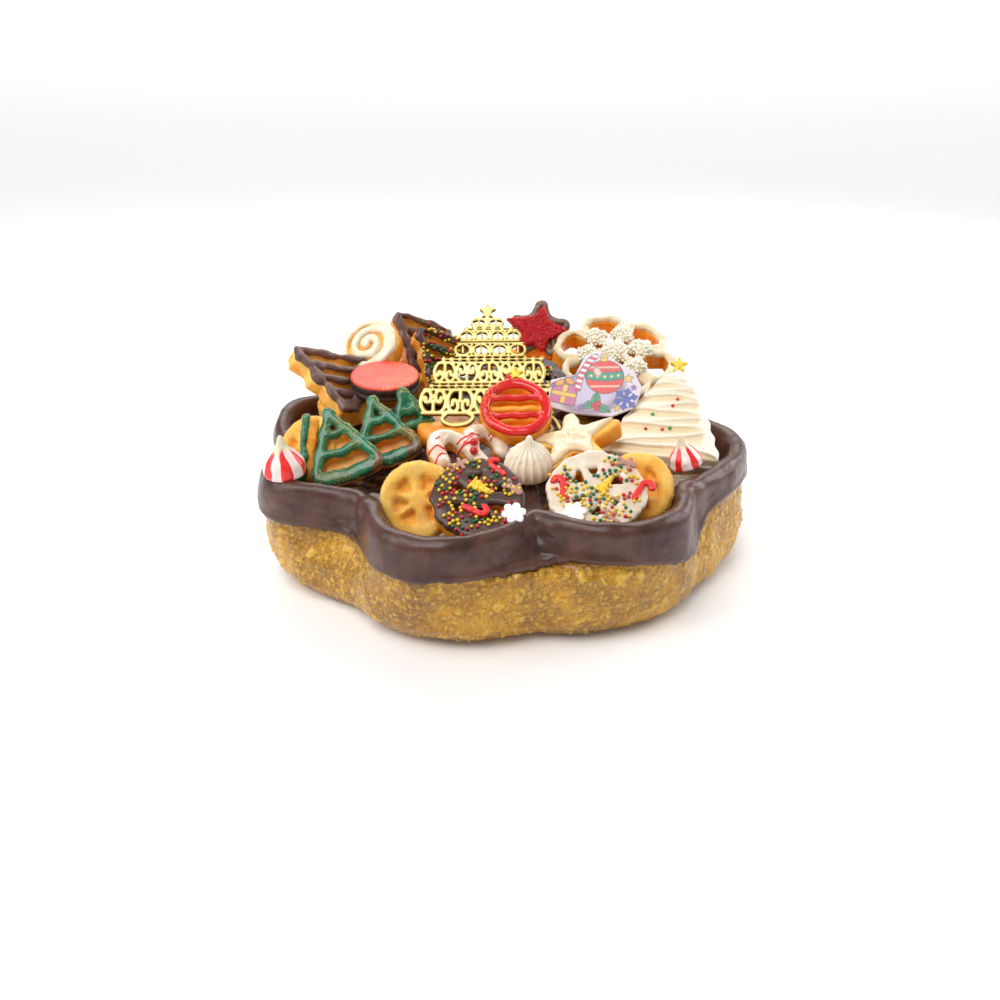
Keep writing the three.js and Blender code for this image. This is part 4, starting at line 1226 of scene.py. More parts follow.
side_choc = lambda lim, soft=1.5, seed=0: (lambda V: smooth(lim + soft, lim - soft, V[:, 2] + 1.6 * vnoise(V / 5, seed + 77)))
p, f, V, F = round_fritter("round_plain_front_left", [-45, -92, 70], -90, 28, 12, 21, 12, SUGARED, 0.8, seed=3, lo=0.34, hi=0.56, wide=0.30,
                           choc=lambda V: smooth(1.5, -1.5, V[:, 1] * 0.9 + 13 + 1.2 * V[:, 0] * 0.25 + V[:, 2] * 0.9 + 7 + 2 * vnoise(V / 6, 9)), dent=puff)
dusting("a", p, f, V, F, 1100, 1)
p, f, V, F = round_fritter("round_plain_front_right", [70.5, -79, 71], -118, 32, 0, 20.5, 12, SUGARED, 0.8, seed=13, lo=0.34, hi=0.56, wide=0.30,
                           choc=lambda V: smooth(-1.5, 1.5, V[:, 0] * 0.75 - V[:, 1] * 0.5 - V[:, 2] * 0.8 - 17.5 + 1.6 * vnoise(V / 6, 19)), dent=puff)
dusting("b", p, f, V, F, 1100, 2)
p, f, V, F = round_fritter("round_plain_left", [-117.5, -30.5, 75.5], -124, 41, 0, 20.5, 12, SUGARED, 0.9, seed=23, lo=0.34, hi=0.56, wide=0.30, dent=puff)
dusting("c", p, f, V, F, 900, 3)
p, f, V, F = round_fritter("round_plain_under_tree", [-104, 33, 83], -110, 80, 0, 18, 14, SUGARED, H2, wedges=0, seed=33)
dusting("d", p, f, V, F, 300, 4)
round_fritter("round_brown_middle", [-34, -3, 79], -90, 84, 0, 20, 11, DOUGH, 1.1, wedges=0, seed=53, choc=lambda V: smooth(0.1, 0.5, vnoise(V / 6.5, 59)), tone=-0.1)
p, f, V, F = round_fritter("round_plain_back_left", [-80, 78, 84], -110, 76, 0, 24, 15, SUGARED, H2, seed=63)
p, f, V, F = round_fritter("round_plain_back_middle", [14, 100, 85], -90, 74, 0, 23, 14, SUGARED, H2, seed=73)
p, f, V, F = round_fritter("round_plain_back_right", [74, 92, 80], -90, 72, 0, 26, 15, SUGARED, H2, seed=83)

# iced ones in front -------------------------------------------------------------------
def iced_round(name, at, az, el, spin, r, thick, ice, seed, lo, hi, wide, turn, inset, top, low, drip, wob, slot):
    pose = Pose(at, az, el, spin)
    d2 = minus(disc(r - 0.2), wedge_holes(r, 6, lo, hi, turn, wide=wide), 2.4)
    f = dough_field(d2, thick, top=-1.2, r=3.0, r_low=3.6, wob=0.5, seed=seed)
    V, F = solid(name + "_dough", pose, f, (-r - 1, -r - 1, -thick - 1), (r + 1, r + 1, 1), 1.0, DOUGH, node=name, slot=slot, seed=seed, choc=lambda V: 0 * V[:, 0])
    g = icing_field(d2, inset=inset, top=top, low=low, r=2.0, wob=wob, drip=drip, seed=seed)
    V, F = solid(name + "_icing", pose, g, (-r - 2, -r - 2, -9), (r + 2, r + 2, 2), 0.8, ice, node=name, seed=seed)
    FIELD[name] = (pose, both(f, g))
    return pose, both(f, g)


iced_round("round_iced_front_left", [-13, -99.5, 75.5], -88, 60, 0, 24, 13, CHOC_ICING, 103, 0.3, 0.64, 0.5, 0.55, -0.9, 0.7, -3.2, 1.7, 1.1, "chocolate_iced_dough")
iced_round("round_iced_front_right", [49, -92, 76], -92, 61, 10, 25, 13, WHITE, 113, 0.32, 0.6, 0.45, 0.35, -1.1, 0.9, -3.2, 1.6, 1.2, "white_iced_dough")
iced_round("round_chocolate_back", [15, 52, 88], -90, 70, 0, 25, 12, DARK_CHOC, 123, 0.3, 0.62, 0.5, 0.2, -1.4, 0.8, -6.5, 2.0, 1.0, None)

# =====================================================================================
# tree fritters
# =====================================================================================
def tree(name, dims, at, az, el, spin, thick, ice, slot, h=0.9, cells=3, steps=0, bar=4.5, seed=0, patch=None, choc=None, ice_kw=None, extra=None, tone=0.0):
    w, hh = dims
    pose = Pose(at, az, el, spin)
    body, cell, d2 = tree_outline(w, hh, cells, steps, bar) if steps else rope_tree(w, hh)
    f = dough_field(d2, thick, top=-1.3, r=1.8, r_low=2.6, wob=0.5, seed=seed) if h > 1.5 else pitted_field(body, cell, thick, 4.6 if steps else 6.2, top=-1.2, r=1.8, r_low=2.6, wob=0.5, seed=seed)
    lo, hi = (-w * 0.62 - 2, -0.6 * hh - 2, -thick - 1), (w * 0.62 + 2, 0.6 * hh + 2, 1)
    solid(name + "_dough", pose, f, lo, hi, h * 1.05, DOUGH, node=name, slot=slot, choc=choc, seed=seed, tone=tone + (0.25 if steps else 0.15))
    kw = dict(inset=-0.9, top=1.7, low=-3.0, r=3.0, wob=0.75, drip=1.4)
    kw.update(ice_kw or {})
    g = icing_field(d2, seed=seed, **kw)
    ex = dict(extra or {})
    if patch:
        ex["patch"] = patch
    V, F = solid(name + "_icing", pose, g, (lo[0], lo[1], -8), (hi[0], hi[1], 2.6), h * 0.9, ice, node=name, seed=seed, extra=ex)
    FIELD[name] = (pose, both(f, g))
    return pose, both(f, g), V, F


flakes = []


def flecks_on(pose, V, F, n, seed, where, size=0.33):
    g = np.random.default_rng(seed)
    P, N = surface_points(g, V, F, n, lambda m, nn: np.clip(nn[:, 2], 0, 1) * where(m))
    W, FF = many(GRAIN, pose.out(P + N * 0.08), turns(g, n), g.uniform(0.5, 1.3, (n, 3)) * np.array([1, 1, 0.4]) * size)
    flakes.append((W, FF))


gt = dict(slot="green_iced_dough", ice=GREEN)
p, f, V, F = tree("green_tree_1", (40, 44), [-94.5, -41, 80], -88, 46, 20, 9, seed=203, h=0.8, patch=lambda V: smooth(-1, 2, V[:, 0] - V[:, 1] * 0.6 - 24 + 2 * vnoise(V / 5, 7)),
                  choc=lambda V: np.maximum(smooth(-9, -14, V[:, 1] + V[:, 2] * 0.4 + 2.4 * vnoise(V / 6, 8)), smooth(12, 16, V[:, 0] - V[:, 1] * 0.3)) * (V[:, 1] < -2), **gt)
flecks_on(p, V, F, 900, 11, lambda m: np.clip(0.15 + smooth(-6, 8, m[:, 0]) * smooth(-14, 2, m[:, 1]) + smooth(-9, -16, m[:, 1]) * smooth(8, -8, m[:, 0]), 0, 1) * (vnoise(m / 7, 3) > -0.15))
p, f, V, F = tree("green_tree_2", (38, 42), [-73, -19, 80], -88, 44, 17, 9, seed=213, h=0.8, patch=lambda V: smooth(-1, 2, V[:, 0] - 13.5 - 0.2 * V[:, 1] + 1.5 * vnoise(V / 4, 5)),
                  choc=lambda V: smooth(7, 12, V[:, 0]) * (V[:, 1] < -10), **gt)
flecks_on(p, V, F, 850, 12, lambda m: np.clip(0.12 + smooth(-2, 8, m[:, 0]) * smooth(-16, -6, m[:, 1]) + 0.5 * smooth(4, -4, np.abs(m[:, 1] + 8)), 0, 1) * (vnoise(m / 7, 4) > -0.2))
p, f, V, F = tree("green_tree_3", (33, 38), [-57, -1, 80], -76, 38, 10, 9, seed=223, h=0.8, **gt)
flecks_on(p, V, F, 650, 13, lambda m: np.clip(0.15 + smooth(-4, 8, m[:, 0] + m[:, 1] * 0.3), 0, 1) * (vnoise(m / 7, 5) > -0.2))
p, f, V, F = tree("green_tree_4", (22, 38), [-117, -35, 75], -174, 8, 3, 8, seed=233, h=0.8, **gt)
flecks_on(p, V, F, 260, 14, lambda m: np.clip(0.1 + smooth(-2, 10, m[:, 1]), 0, 1))

bt = dict(slot="chocolate_iced_dough", ice=CHOC_GOLD, cells=4, steps=3)
zig = dict(inset=-0.5, top=1.6, low=-2.2, r=2.6, wob=0.9, drip=1.3)
p, f, V, F = tree("brown_tree_left", (54, 50), [-104.5, 31, 96], -27, 52, 146, 13, seed=303, h=0.9, ice_kw=zig, tone=0.05, **bt)
p, f, V, F = tree("brown_tree_back_1", (42, 42), [-58.5, 92, 101], -55, 34, 152, 12, seed=313, h=0.95, bar=4.2, ice_kw=zig, **bt)
bt["ice"] = CHOC_ICING
p, f, V, F = tree("brown_tree_back_2", (42, 42), [-42, 69, 96], -60, 34, 152, 13, seed=323, h=0.95, bar=4.2, ice_kw=dict(zig, inset=-0.3), **bt)

# =====================================================================================
# snowflake fritter and its pearl snowflake
# =====================================================================================
def snowflake():
    R = 43.5
    pose = Pose([76, 84, 96], -86, 66, 7)
    lobe = [(0, 0.815), (8, 0.875), (17, 0.985), (30, 0.965), (43, 0.985), (52, 0.875)]
    outer = [(math.cos(math.radians(a + k * 60)) * (R * q - 1.2), math.sin(math.radians(a + k * 60)) * (R * q - 1.2)) for k in range(6) for a, q in lobe]
    holes = [[(math.cos(math.radians(a + k * 60)) * R * q, math.sin(math.radians(a + k * 60)) * R * q) for q, a in
              [(0.34, 30), (0.56, 11), (0.79, 11), (0.845, 21), (0.855, 39), (0.79, 49), (0.56, 49)]] for k in range(6)]

    def d2(U, W):
        x = poly(U, W, outer) - 1.2
        hh = None
        for t in holes:
            y = poly(U, W, t) - 0.6
            hh = y if hh is None else np.minimum(hh, y)
        return smax(x, -hh, 1.8)
    f = dough_field(d2, 15, top=-1.6, r=1.8, r_low=3.0, wob=0.5, seed=403)
    solid("snowflake_fritter_dough", pose, f, (-46, -46, -16), (46, 46, 1), 1.1, DOUGH, node="snowflake_fritter", slot="white_iced_dough", seed=403)
    g = icing_field(d2, inset=-0.3, top=1.0, low=-3.0, r=2.6, wob=0.7, drip=1.6, seed=403)
    keep = lambda P: smax(g(P), 17.0 - np.hypot(P[:, 0], P[:, 1]), 1.0)
    solid("snowflake_fritter_icing", pose, keep, (-47, -47, -7), (47, 47, 2.4), 0.95, IVORY, node="snowflake_fritter", seed=403)
    # the small pearl-covered snowflake in its middle
    q = Pose([76.3, 81.85, 101], -86, 66, -23)

    def arms(P):
        out = np.sqrt((P[:, 0] / 8.5) ** 2 + (P[:, 1] / 8.5) ** 2 + ((P[:, 2] + 3.5) / 5.0) ** 2)
        out = (out - 1) * 5.0
        for k in range(6):
            a = math.radians(90 + 60 * k)
            c, s = math.cos(a), math.sin(a)
            x, y = P[:, 0] * c + P[:, 1] * s, -P[:, 0] * s + P[:, 1] * c
            t = np.clip((x - 4) / 17, 0, 1)
            stem = np.sqrt((x - 4 - t * 17) ** 2 + y ** 2 + (P[:, 2] + 3.4) ** 2) - 2.3
            out = smin(out, stem, 1.2)
            for dx, dy, rr in ((20.5, 0, 4.6), (17.5, 4.2, 3.4), (17.5, -4.2, 3.4), (23.2, 3.0, 2.9), (23.2, -3.0, 2.9)):
                b = np.sqrt(((x - dx) / rr) ** 2 + ((y - dy) / rr) ** 2 + ((P[:, 2] + 3.2) / (rr * 0.95)) ** 2)
                out = smin(out, (b - 1) * rr * 0.9, 0.8)
        return np.maximum(out, -(P[:, 2] + 5.0))
    V, F = solid("pearl_snowflake_body", q, arms, (-29, -29, -6), (29, 29, 3), 0.9, IVORY, node="pearl_snowflake", slot="white_sugar", seed=409)
    g2 = np.random.default_rng(77)
    P, N = surface_points(g2, V, F, 5200, lambda m, nn: (m[:, 2] > -4.2) * 1.0)
    K = spread(g2, np.concatenate([P, N], 1), 1.85, 640)
    Pp, Nn = K[:, :3], K[:, 3:]
    W, FF = many(BALL, q.out(Pp + Nn * 0.25), turns(g2, len(Pp)), g2.uniform(1.0, 1.18, len(Pp)))
    obj("pearl_snowflake_pearls", W, FF, plain("white_pearl", srgb(253, 249, 234), 0.3, sss=0.35, vary=0.02, coat=0.2))


snowflake()

# =====================================================================================
# spiral, sandwich biscuit
# =====================================================================================
def spiral():
    pose = Pose([-92, 68, 108], -118, 48, 0)
    a = np.linspace(0, 1, 46)
    th = math.radians(200) - a * math.radians(690)
    rr = 2.2 + (17.2 - 2.2) * a ** 0.9
    pts = [(r * math.cos(t) * 1.0, r * math.sin(t)) for r, t in zip(rr, th)]

    def groove(U, W):
        return line(U, W, pts, 2.7, k=0.6)
    base = disc(20.3)
    f0 = dough_field(base, 15, top=-2.2, r=3.4, r_low=4, wob=0.6, seed=503)
    f1 = dough_field(groove, 6, top=-0.6, r=2.4, r_low=1, wob=0.4, seed=505)
    f = lambda P: smin(f0(P), f1(P), 1.2)
    solid("spiral_fritter_dough", pose, f, (-22, -22, -16), (22, 22, 1.5), 1.0, DOUGH, node="spiral_fritter", slot="white_iced_dough", seed=503, tone=0.12)
    g = icing_field(groove, inset=0.1, top=1.5, low=-3.0, r=2.4, wob=0.55, drip=0.8, seed=507)
    rim = icing_field(lambda U, W: np.abs(np.hypot(U, W) - 18.0) - 1.9, inset=0.1, top=0.4, low=-3.2, r=1.6, wob=0.7, drip=1.0, seed=509)
    gg = lambda P: smin(g(P), rim(P), 1.4)
    solid("spiral_fritter_icing", pose, gg, (-22, -22, -7), (22, 22, 3.0), 0.85, icing("cream_icing_shimmer", srgb(248, 240, 218), srgb(234, 220, 184), 0.28,
          flecks=(srgb(244, 232, 190), 0.45, 0.5, 0.7, 0.4)), node="spiral_fritter", seed=507)


spiral()


def biscuit():
    pose = Pose([-77, 34, 97.4], -75, 83, 0)
    R = 22.3
    dark = Mat("dark_biscuit")
    n = dark.noise(1.1, 3, 0.6)
    c = dark.ramp(dark.noise(4, 3, 0.6), [(0.3, srgb(44, 30, 27)), (0.7, srgb(84, 62, 56))])
    BIS = dark.done(dark.principled(Base_Color=c, Roughness=0.55, Normal=dark.bump(n, 0.25), Specular_IOR_Level=0.4))
    cog = lambda T, Z: 0.28 * np.cos(58 * T) * (np.abs(Z + 1.9) < 1.7)
    prof = [(0, -9), (R - 1.4, -9), (R - 0.7, -8.6), (R - 0.4, -7.6), (R - 0.9, -6.6), (R - 2.0, -6.3), (R - 2.4, -5.6), (R - 2.1, -4.9), (R - 1.2, -4.5),
            (R - 0.3, -4.0), (R - 0.05, -3.2), (R - 0.6, -2.6), (R - 0.2, -2.2), (R, -1.6), (R - 0.3, -1.1), (R - 1.0, -0.8), (0, -0.8)]
    turned("sandwich_biscuit_body", pose, prof, 232, BIS, rows=48, shape=lambda r, z, t: (r + cog(t, z) * (r > R - 3) + 0.15 * vnoise(np.stack([np.cos(t) * 5, np.sin(t) * 5, z], -1).reshape(-1, 3), 5).reshape(r.shape), z),
           node="sandwich_biscuit", slot="dark_biscuit", soften=0)
    prof = [(0, -1.4), (R - 0.9, -1.4), (R - 0.35, -1.1), (R - 0.25, -0.5), (R - 0.7, 0.05), (R - 1.8, 0.3), (R - 3, 0.32), (10, 0.42), (0, 0.45)]
    m = Mat("coral_shimmer")
    edge = m.attr("gold")
    n1 = m.noise(7, 3, 0.6)
    base = m.mix(m.span(n1, 0.35, 0.7), srgb(236, 58, 44), srgb(248, 92, 70))
    s = m.principled(Base_Color=base, Roughness=0.42, Normal=m.bump(m.noise(1.3, 3, 0.6), 0.12), Subsurface_Weight=0.1, Subsurface_Radius=(0.002, 0.001, 0.001), Subsurface_Scale=0.3)
    fl = m.span(m.voronoi(0.6), 0.34, 0.2)
    fac = m.math("MULTIPLY", m.math("MULTIPLY", fl, m.span(m.noise(3, 2, 0.6), 0.36, 0.5)), edge)
    g = m.principled(Base_Color=srgb(255, 222, 130), Roughness=0.25, Metallic=1.0, Normal=m.bump(m.voronoi(0.55), 0.25))
    mx = m.t.nodes.new("ShaderNodeMixShader")
    m.link(fac, mx.inputs[0])
    m.link(s, mx.inputs[1])
    m.link(g, mx.inputs[2])
    turned("sandwich_biscuit_top", pose, prof, 220, m.done(mx.outputs[0]), rows=34,
           shape=lambda r, z, t: (r + 0.22 * np.cos(58 * t) * (r > R - 2.4) * (z > -1.3) * (z < 0.1), z),
           attrs=dict(gold=lambda V: np.clip(0.12 + smooth(-8, 16, V[:, 0] - V[:, 1] * 0.6), 0, 1)), node="sandwich_biscuit", soften=0)


biscuit()

# =====================================================================================
# sweets and meringue
# =====================================================================================
def drop(name, at, az, el, R, H, seed, phase, slot):
    pose = Pose(at, az, el, 0)
    prof = [(0, 0), (R * 0.86, 0), (R * 0.97, H * 0.03), (R, H * 0.11), (R * 0.985, H * 0.2), (R * 0.93, H * 0.3), (R * 0.8, H * 0.42), (R * 0.6, H * 0.54), (R * 0.4, H * 0.64),
            (R * 0.25, H * 0.75), (R * 0.17, H * 0.86), (R * 0.12, H * 0.95), (R * 0.05, H * 0.995), (0, H)]
    m = Mat(name + "_candy")
    st, tip = m.attr("stripe"), m.attr("tip")
    n = m.noise(2.5, 2, 0.5)
    e = m.span(m.math("ADD", st, m.math("MULTIPLY", m.math("SUBTRACT", n, 0.5), 0.35)), -0.07, 0.07)
    c = m.mix(e, srgb(250, 228, 222), srgb(238, 38, 36))
    c = m.mix(tip, c, srgb(226, 218, 184))
    s = m.principled(Base_Color=c, Roughness=0.3, Normal=m.bump(m.noise(6, 2, 0.5), 0.5, strength=0.5), Subsurface_Weight=0.2, Subsurface_Radius=(0.003, 0.0016, 0.0012),
                     Subsurface_Scale=0.4, Specular_IOR_Level=0.5, Coat_Weight=0.25, Coat_Roughness=0.15)

    def shape(r, z, t):
        q = np.stack([np.cos(t) * 3, np.sin(t) * 3, z / 5], -1).reshape(-1, 3)
        return r * (1 + 0.035 * vnoise(q, seed).reshape(r.shape) * (z > 1)) + 0.18 * np.cos(3.5 * z / H * 6 + t) * (z > H * 0.1) * (z < H * 0.7), z

    def stripe(V):
        t = np.arctan2(V[:, 1], V[:, 0])
        zz = V[:, 2] / H
        wob = 0.25 * vnoise(np.stack([np.cos(t) * 2, np.sin(t) * 2, zz * 5], 1), seed + 3)
        return np.cos(6 * (t + 0.28 * zz * (1.4 - zz) + phase) + wob * 2.4) - 0.12
    tipf = lambda V: smooth(0.6, 0.72, V[:, 2] / H + 0.05 * np.cos(3 * np.arctan2(V[:, 1], V[:, 0])))
    turned(name, pose, prof, 96, m.done(s), rows=72, shape=shape, attrs=dict(stripe=stripe, tip=tipf), node=name, slot=slot, soften=4)


drop("candy_drop_left", [-122, -60.5, 71.2], -90, 84, 12, 24, 5, 0.1, "red_striped_sweet")
drop("candy_drop_right", [104.5, -47, 69.5], 176, 75, 9.5, 20, 8, 0.45, "red_striped_sweet")


def meringue():
    pose = Pose([14, -55, 68], -90, 80, 0)
    prof = [(0, 0), (10.4, 0), (12.2, 0.8), (13.2, 2.6), (13.6, 5), (13.4, 8), (12.4, 11), (10.6, 13.8), (8.4, 16.0), (6.0, 18.0), (3.9, 19.9), (2.5, 21.7), (1.9, 23.3), (1.75, 24.6), (1.2, 25.6), (0, 26)]
    NR = 18

    def ridges(t, z):
        tw = t + 0.05 * (z / 26)
        q = np.stack([np.cos(tw) * 2.5, np.sin(tw) * 2.5, z * 0 + z / 30], -1).reshape(-1, 3)
        w = 0.22 * vnoise(q, 11).reshape(t.shape)
        x = np.abs(np.sin(NR / 2 * (tw + w * 0.35)))
        return 1 - x ** 0.5                       # sharp at the ridge

    def shape(r, z, t):
        k = smooth(0.4, 3.5, z) * (1 - smooth(19.5, 23.0, z))
        rr = r - 0.75 * k + 1.9 * k * ridges(t, z)
        second = smooth(14.2, 15.0, z + 0.9 * np.cos(9 * t)) * (1 - smooth(17, 20, z))
        return rr + 0.5 * second, z

    def hollow(V):
        t = np.arctan2(V[:, 1], V[:, 0])
        return 1 - ridges(t, V[:, 2])
    m = Mat("meringue")
    # Painted shade: the grooves between the piped ridges are a darker, warmer cream than the ridge tops.
    groove_shade = m.attr("hollow")
    c = m.mix(m.span(groove_shade, 0.1, 0.9), srgb(252, 247, 234), srgb(242, 232, 210))
    s = m.principled(Base_Color=c, Roughness=0.42, Normal=m.bump(m.noise(1.5, 2, 0.5), 0.15), Subsurface_Weight=0.2, Subsurface_Radius=(0.003, 0.002, 0.0014),
                     Subsurface_Scale=0.4, Specular_IOR_Level=0.45)
    turned("meringue_drop_piped", pose, prof, 288, m.done(s), rows=56, shape=shape, attrs=dict(hollow=hollow), node="meringue_drop", slot="white_sugar", soften=3)


meringue()

# =====================================================================================
# double hook
# =====================================================================================
def hook():
    pose = Pose([-17, -44.5, 84], -27, 64, -25)
    stem = [(0.3, -23.0), (-0.8, -15), (-2.0, -8), (-2.6, -1)]
    right = smooth_path([(-1.6, -2), (2.4, 4.5), (6.6, 9.4), (13.0, 11.6), (18.8, 9.8), (21.3, 4.0), (20.0, -2.6), (18.0, -6.5)], 22)
    left = smooth_path([(-3.4, -2), (-5.2, 3.5), (-8.6, 7.6), (-14.0, 9.6), (-20.0, 7.2), (-24.2, 1.6), (-26.0, -4.6), (-26.6, -8.5)], 22)

    def d2(U, W):
        x = line(U, W, right, 4.6, k=0.6)
        y = line(U, W, left, 4.6, k=0.6)
        z = line(U, W, stem, 4.9, k=0.6)
        return smin(smin(x, y, 2.2), z, 2.0)
    f = dough_field(d2, 11, top=-0.6, r=4.2, r_low=4.2, wob=0.35, seed=603)
    V, F = solid("double_hook_fritter_dough", pose, f, (-33, -30, -12), (28, 18, 2), 0.85, DOUGH, node="double_hook_fritter", slot="white_iced_dough", seed=603, tone=0.05)

    def g(P):
        q = f(P) - 0.6
        cutz = -(P[:, 2] + 5.4 + 1.6 * vnoise(P * [1, 1, 0] / 4.2, 611) + 0.7 * vnoise(P * [1, 1, 0] / 2.0, 612))
        return smax(q, cutz, 0.9)
    solid("double_hook_fritter_icing", pose, g, (-34, -31, -10), (29, 19, 2.4), 0.75, WHITE, node="double_hook_fritter", seed=607)
    both_f = both(f, g)
    FIELD["hook"] = (pose, both_f)
    # thin red threads of icing
    zm = lambda pts: [(415 + x * 0.1, 375 + y * 0.1) for x, y in pts]
    threads = [[(112, 645), (220, 580), (330, 512)], [(122, 880), (140, 800), (170, 745), (225, 700), (280, 735), (300, 750)], [(208, 885), (232, 815), (270, 785), (318, 795)],
               [(432, 810), (465, 730), (520, 680), (600, 645), (675, 635)], [(418, 695), (480, 630), (560, 585), (600, 590), (640, 608)], [(758, 668), (790, 590), (835, 530), (888, 492)],
               [(735, 608), (790, 550), (850, 505), (888, 488)], [(880, 570), (915, 580), (945, 612)], [(690, 885), (740, 840), (800, 845), (850, 862)], [(205, 640), (250, 612)], [(770, 600), (800, 620)],
               [(455, 760), (480, 700), (530, 640), (575, 600)]]
    parts = []
    for k, pts in enumerate(threads):
        hit = sight(pose, both_f, zm(pts))
        hit = hit[np.abs(both_f(hit)) < 0.3]
        if len(hit) < 2:
            continue
        path = smooth_path(hit, 26)
        N = gradient(both_f, path)
        for _ in range(3):
            path = path - gradient(both_f, path) * np.clip(both_f(path), -1.5, 1.5)[:, None] * 0.8
        N = gradient(both_f, path)
        path = path + N * 0.12
        r = (0.62 + 0.16 * np.sin(np.linspace(0, 9, 26) + k)) * (1 if k in (1, 3, 4, 5, 8) else 0.8)
        v, q, t = tube(path, N, r, flat=0.6)
        parts.append((pose.out(v), q, t))
    v, fs = join(parts)
    obj("red_threads", v, fs, plain("red_thread", srgb(238, 34, 30), 0.2, sss=0.08, vary=0.06, coat=0.3))
    # three berries
    B = sight(pose, both_f, zm([(580, 690), (660, 730), (590, 772)]))
    N = gradient(both_f, B)
    base = ico(3)
    bv = base[0] * (1 + 0.05 * vnoise(base[0] * 3.1, 7))[:, None]
    g3 = np.random.default_rng(9)
    W, FF = many((bv, base[1]), pose.out(B + N * 1.5), turns(g3, 3), np.array([2.45, 2.3, 2.4]))
    obj("red_berries", W, FF, plain("berry_red", srgb(214, 26, 28), 0.3, bump=0.3, mm=1.1, sss=0.1, coat=0.3))


hook()

# =====================================================================================
# bauble fritter, stars
# =====================================================================================
def bauble():
    pose = Pose([7, -19.5, 95.6], -86, 60, 0)
    R = 21.4
    ringd = lambda U, W: np.abs(np.hypot(U, W) - 18.1) - 3.3
    bar = lambda y, hw: (lambda U, W: seg(U, W, (-16, y), (16, y), hw))

    def d2(U, W):
        x = ringd(U, W)
        for y in (7.2, 0.2, -7.2):
            x = smin(x, bar(y, 2.1)(U, W + 0.25 * np.sin(U / 2.2 + y)), 1.6)
        return x
    f0 = dough_field(d2, 13, top=-1.1, r=2.2, r_low=3.2, wob=0.4, seed=703)
    floor = dough_field(disc(19), 12.5, top=-6.0, r=1.5, r_low=3, wob=0.3, seed=705)
    f = lambda P: smin(f0(P), floor(P), 1.0)
    solid("bauble_fritter_dough", pose, f, (-23, -23, -14), (23, 23, 1), 0.9, DOUGH, node="bauble_fritter", slot="red_iced_dough", seed=703,
          choc=lambda V: smooth(-8.5, -10.5, V[:, 2] - 0.12 * V[:, 0] + 1.5 * vnoise(V / 5, 5)), tone=-0.02)

    def i2(U, W):
        x = np.abs(np.hypot(U, W) - 18.1) - 3.1
        x = smin(x, seg(U, W, (-0.5, 18), (-3.4, 23.0), 1.9), 1.6)
        x = smin(x, seg(U, W, (-0.5, 18), (4, 20.5), 1.7), 1.6)
        for y in (7.0, -6.4):
            x = smin(x, seg(U, W + 0.35 * np.sin(U / 1.9 + y), (-14, y), (14, y), 1.9), 1.2)
        return x
    g = icing_field(i2, inset=0, top=1.9, low=-2.0, r=2.7, wob=0.4, drip=0.7, seed=707)
    V, F = solid("bauble_fritter_icing", pose, g, (-24, -24, -5), (24, 26, 3), 0.75, RED, node="bauble_fritter", seed=707,
                 extra=dict(gold=lambda V: np.clip(smooth(-9, -15, V[:, 0] - 0.25 * V[:, 1]) * smooth(-16, -8, V[:, 1]) + 0.10 + 0.35 * smooth(5, 9, V[:, 1]) * smooth(12, 6, V[:, 1]) * smooth(6, -8, V[:, 0]), 0, 1)))
    FIELD["bauble"] = (pose, both(f, g))


bauble()


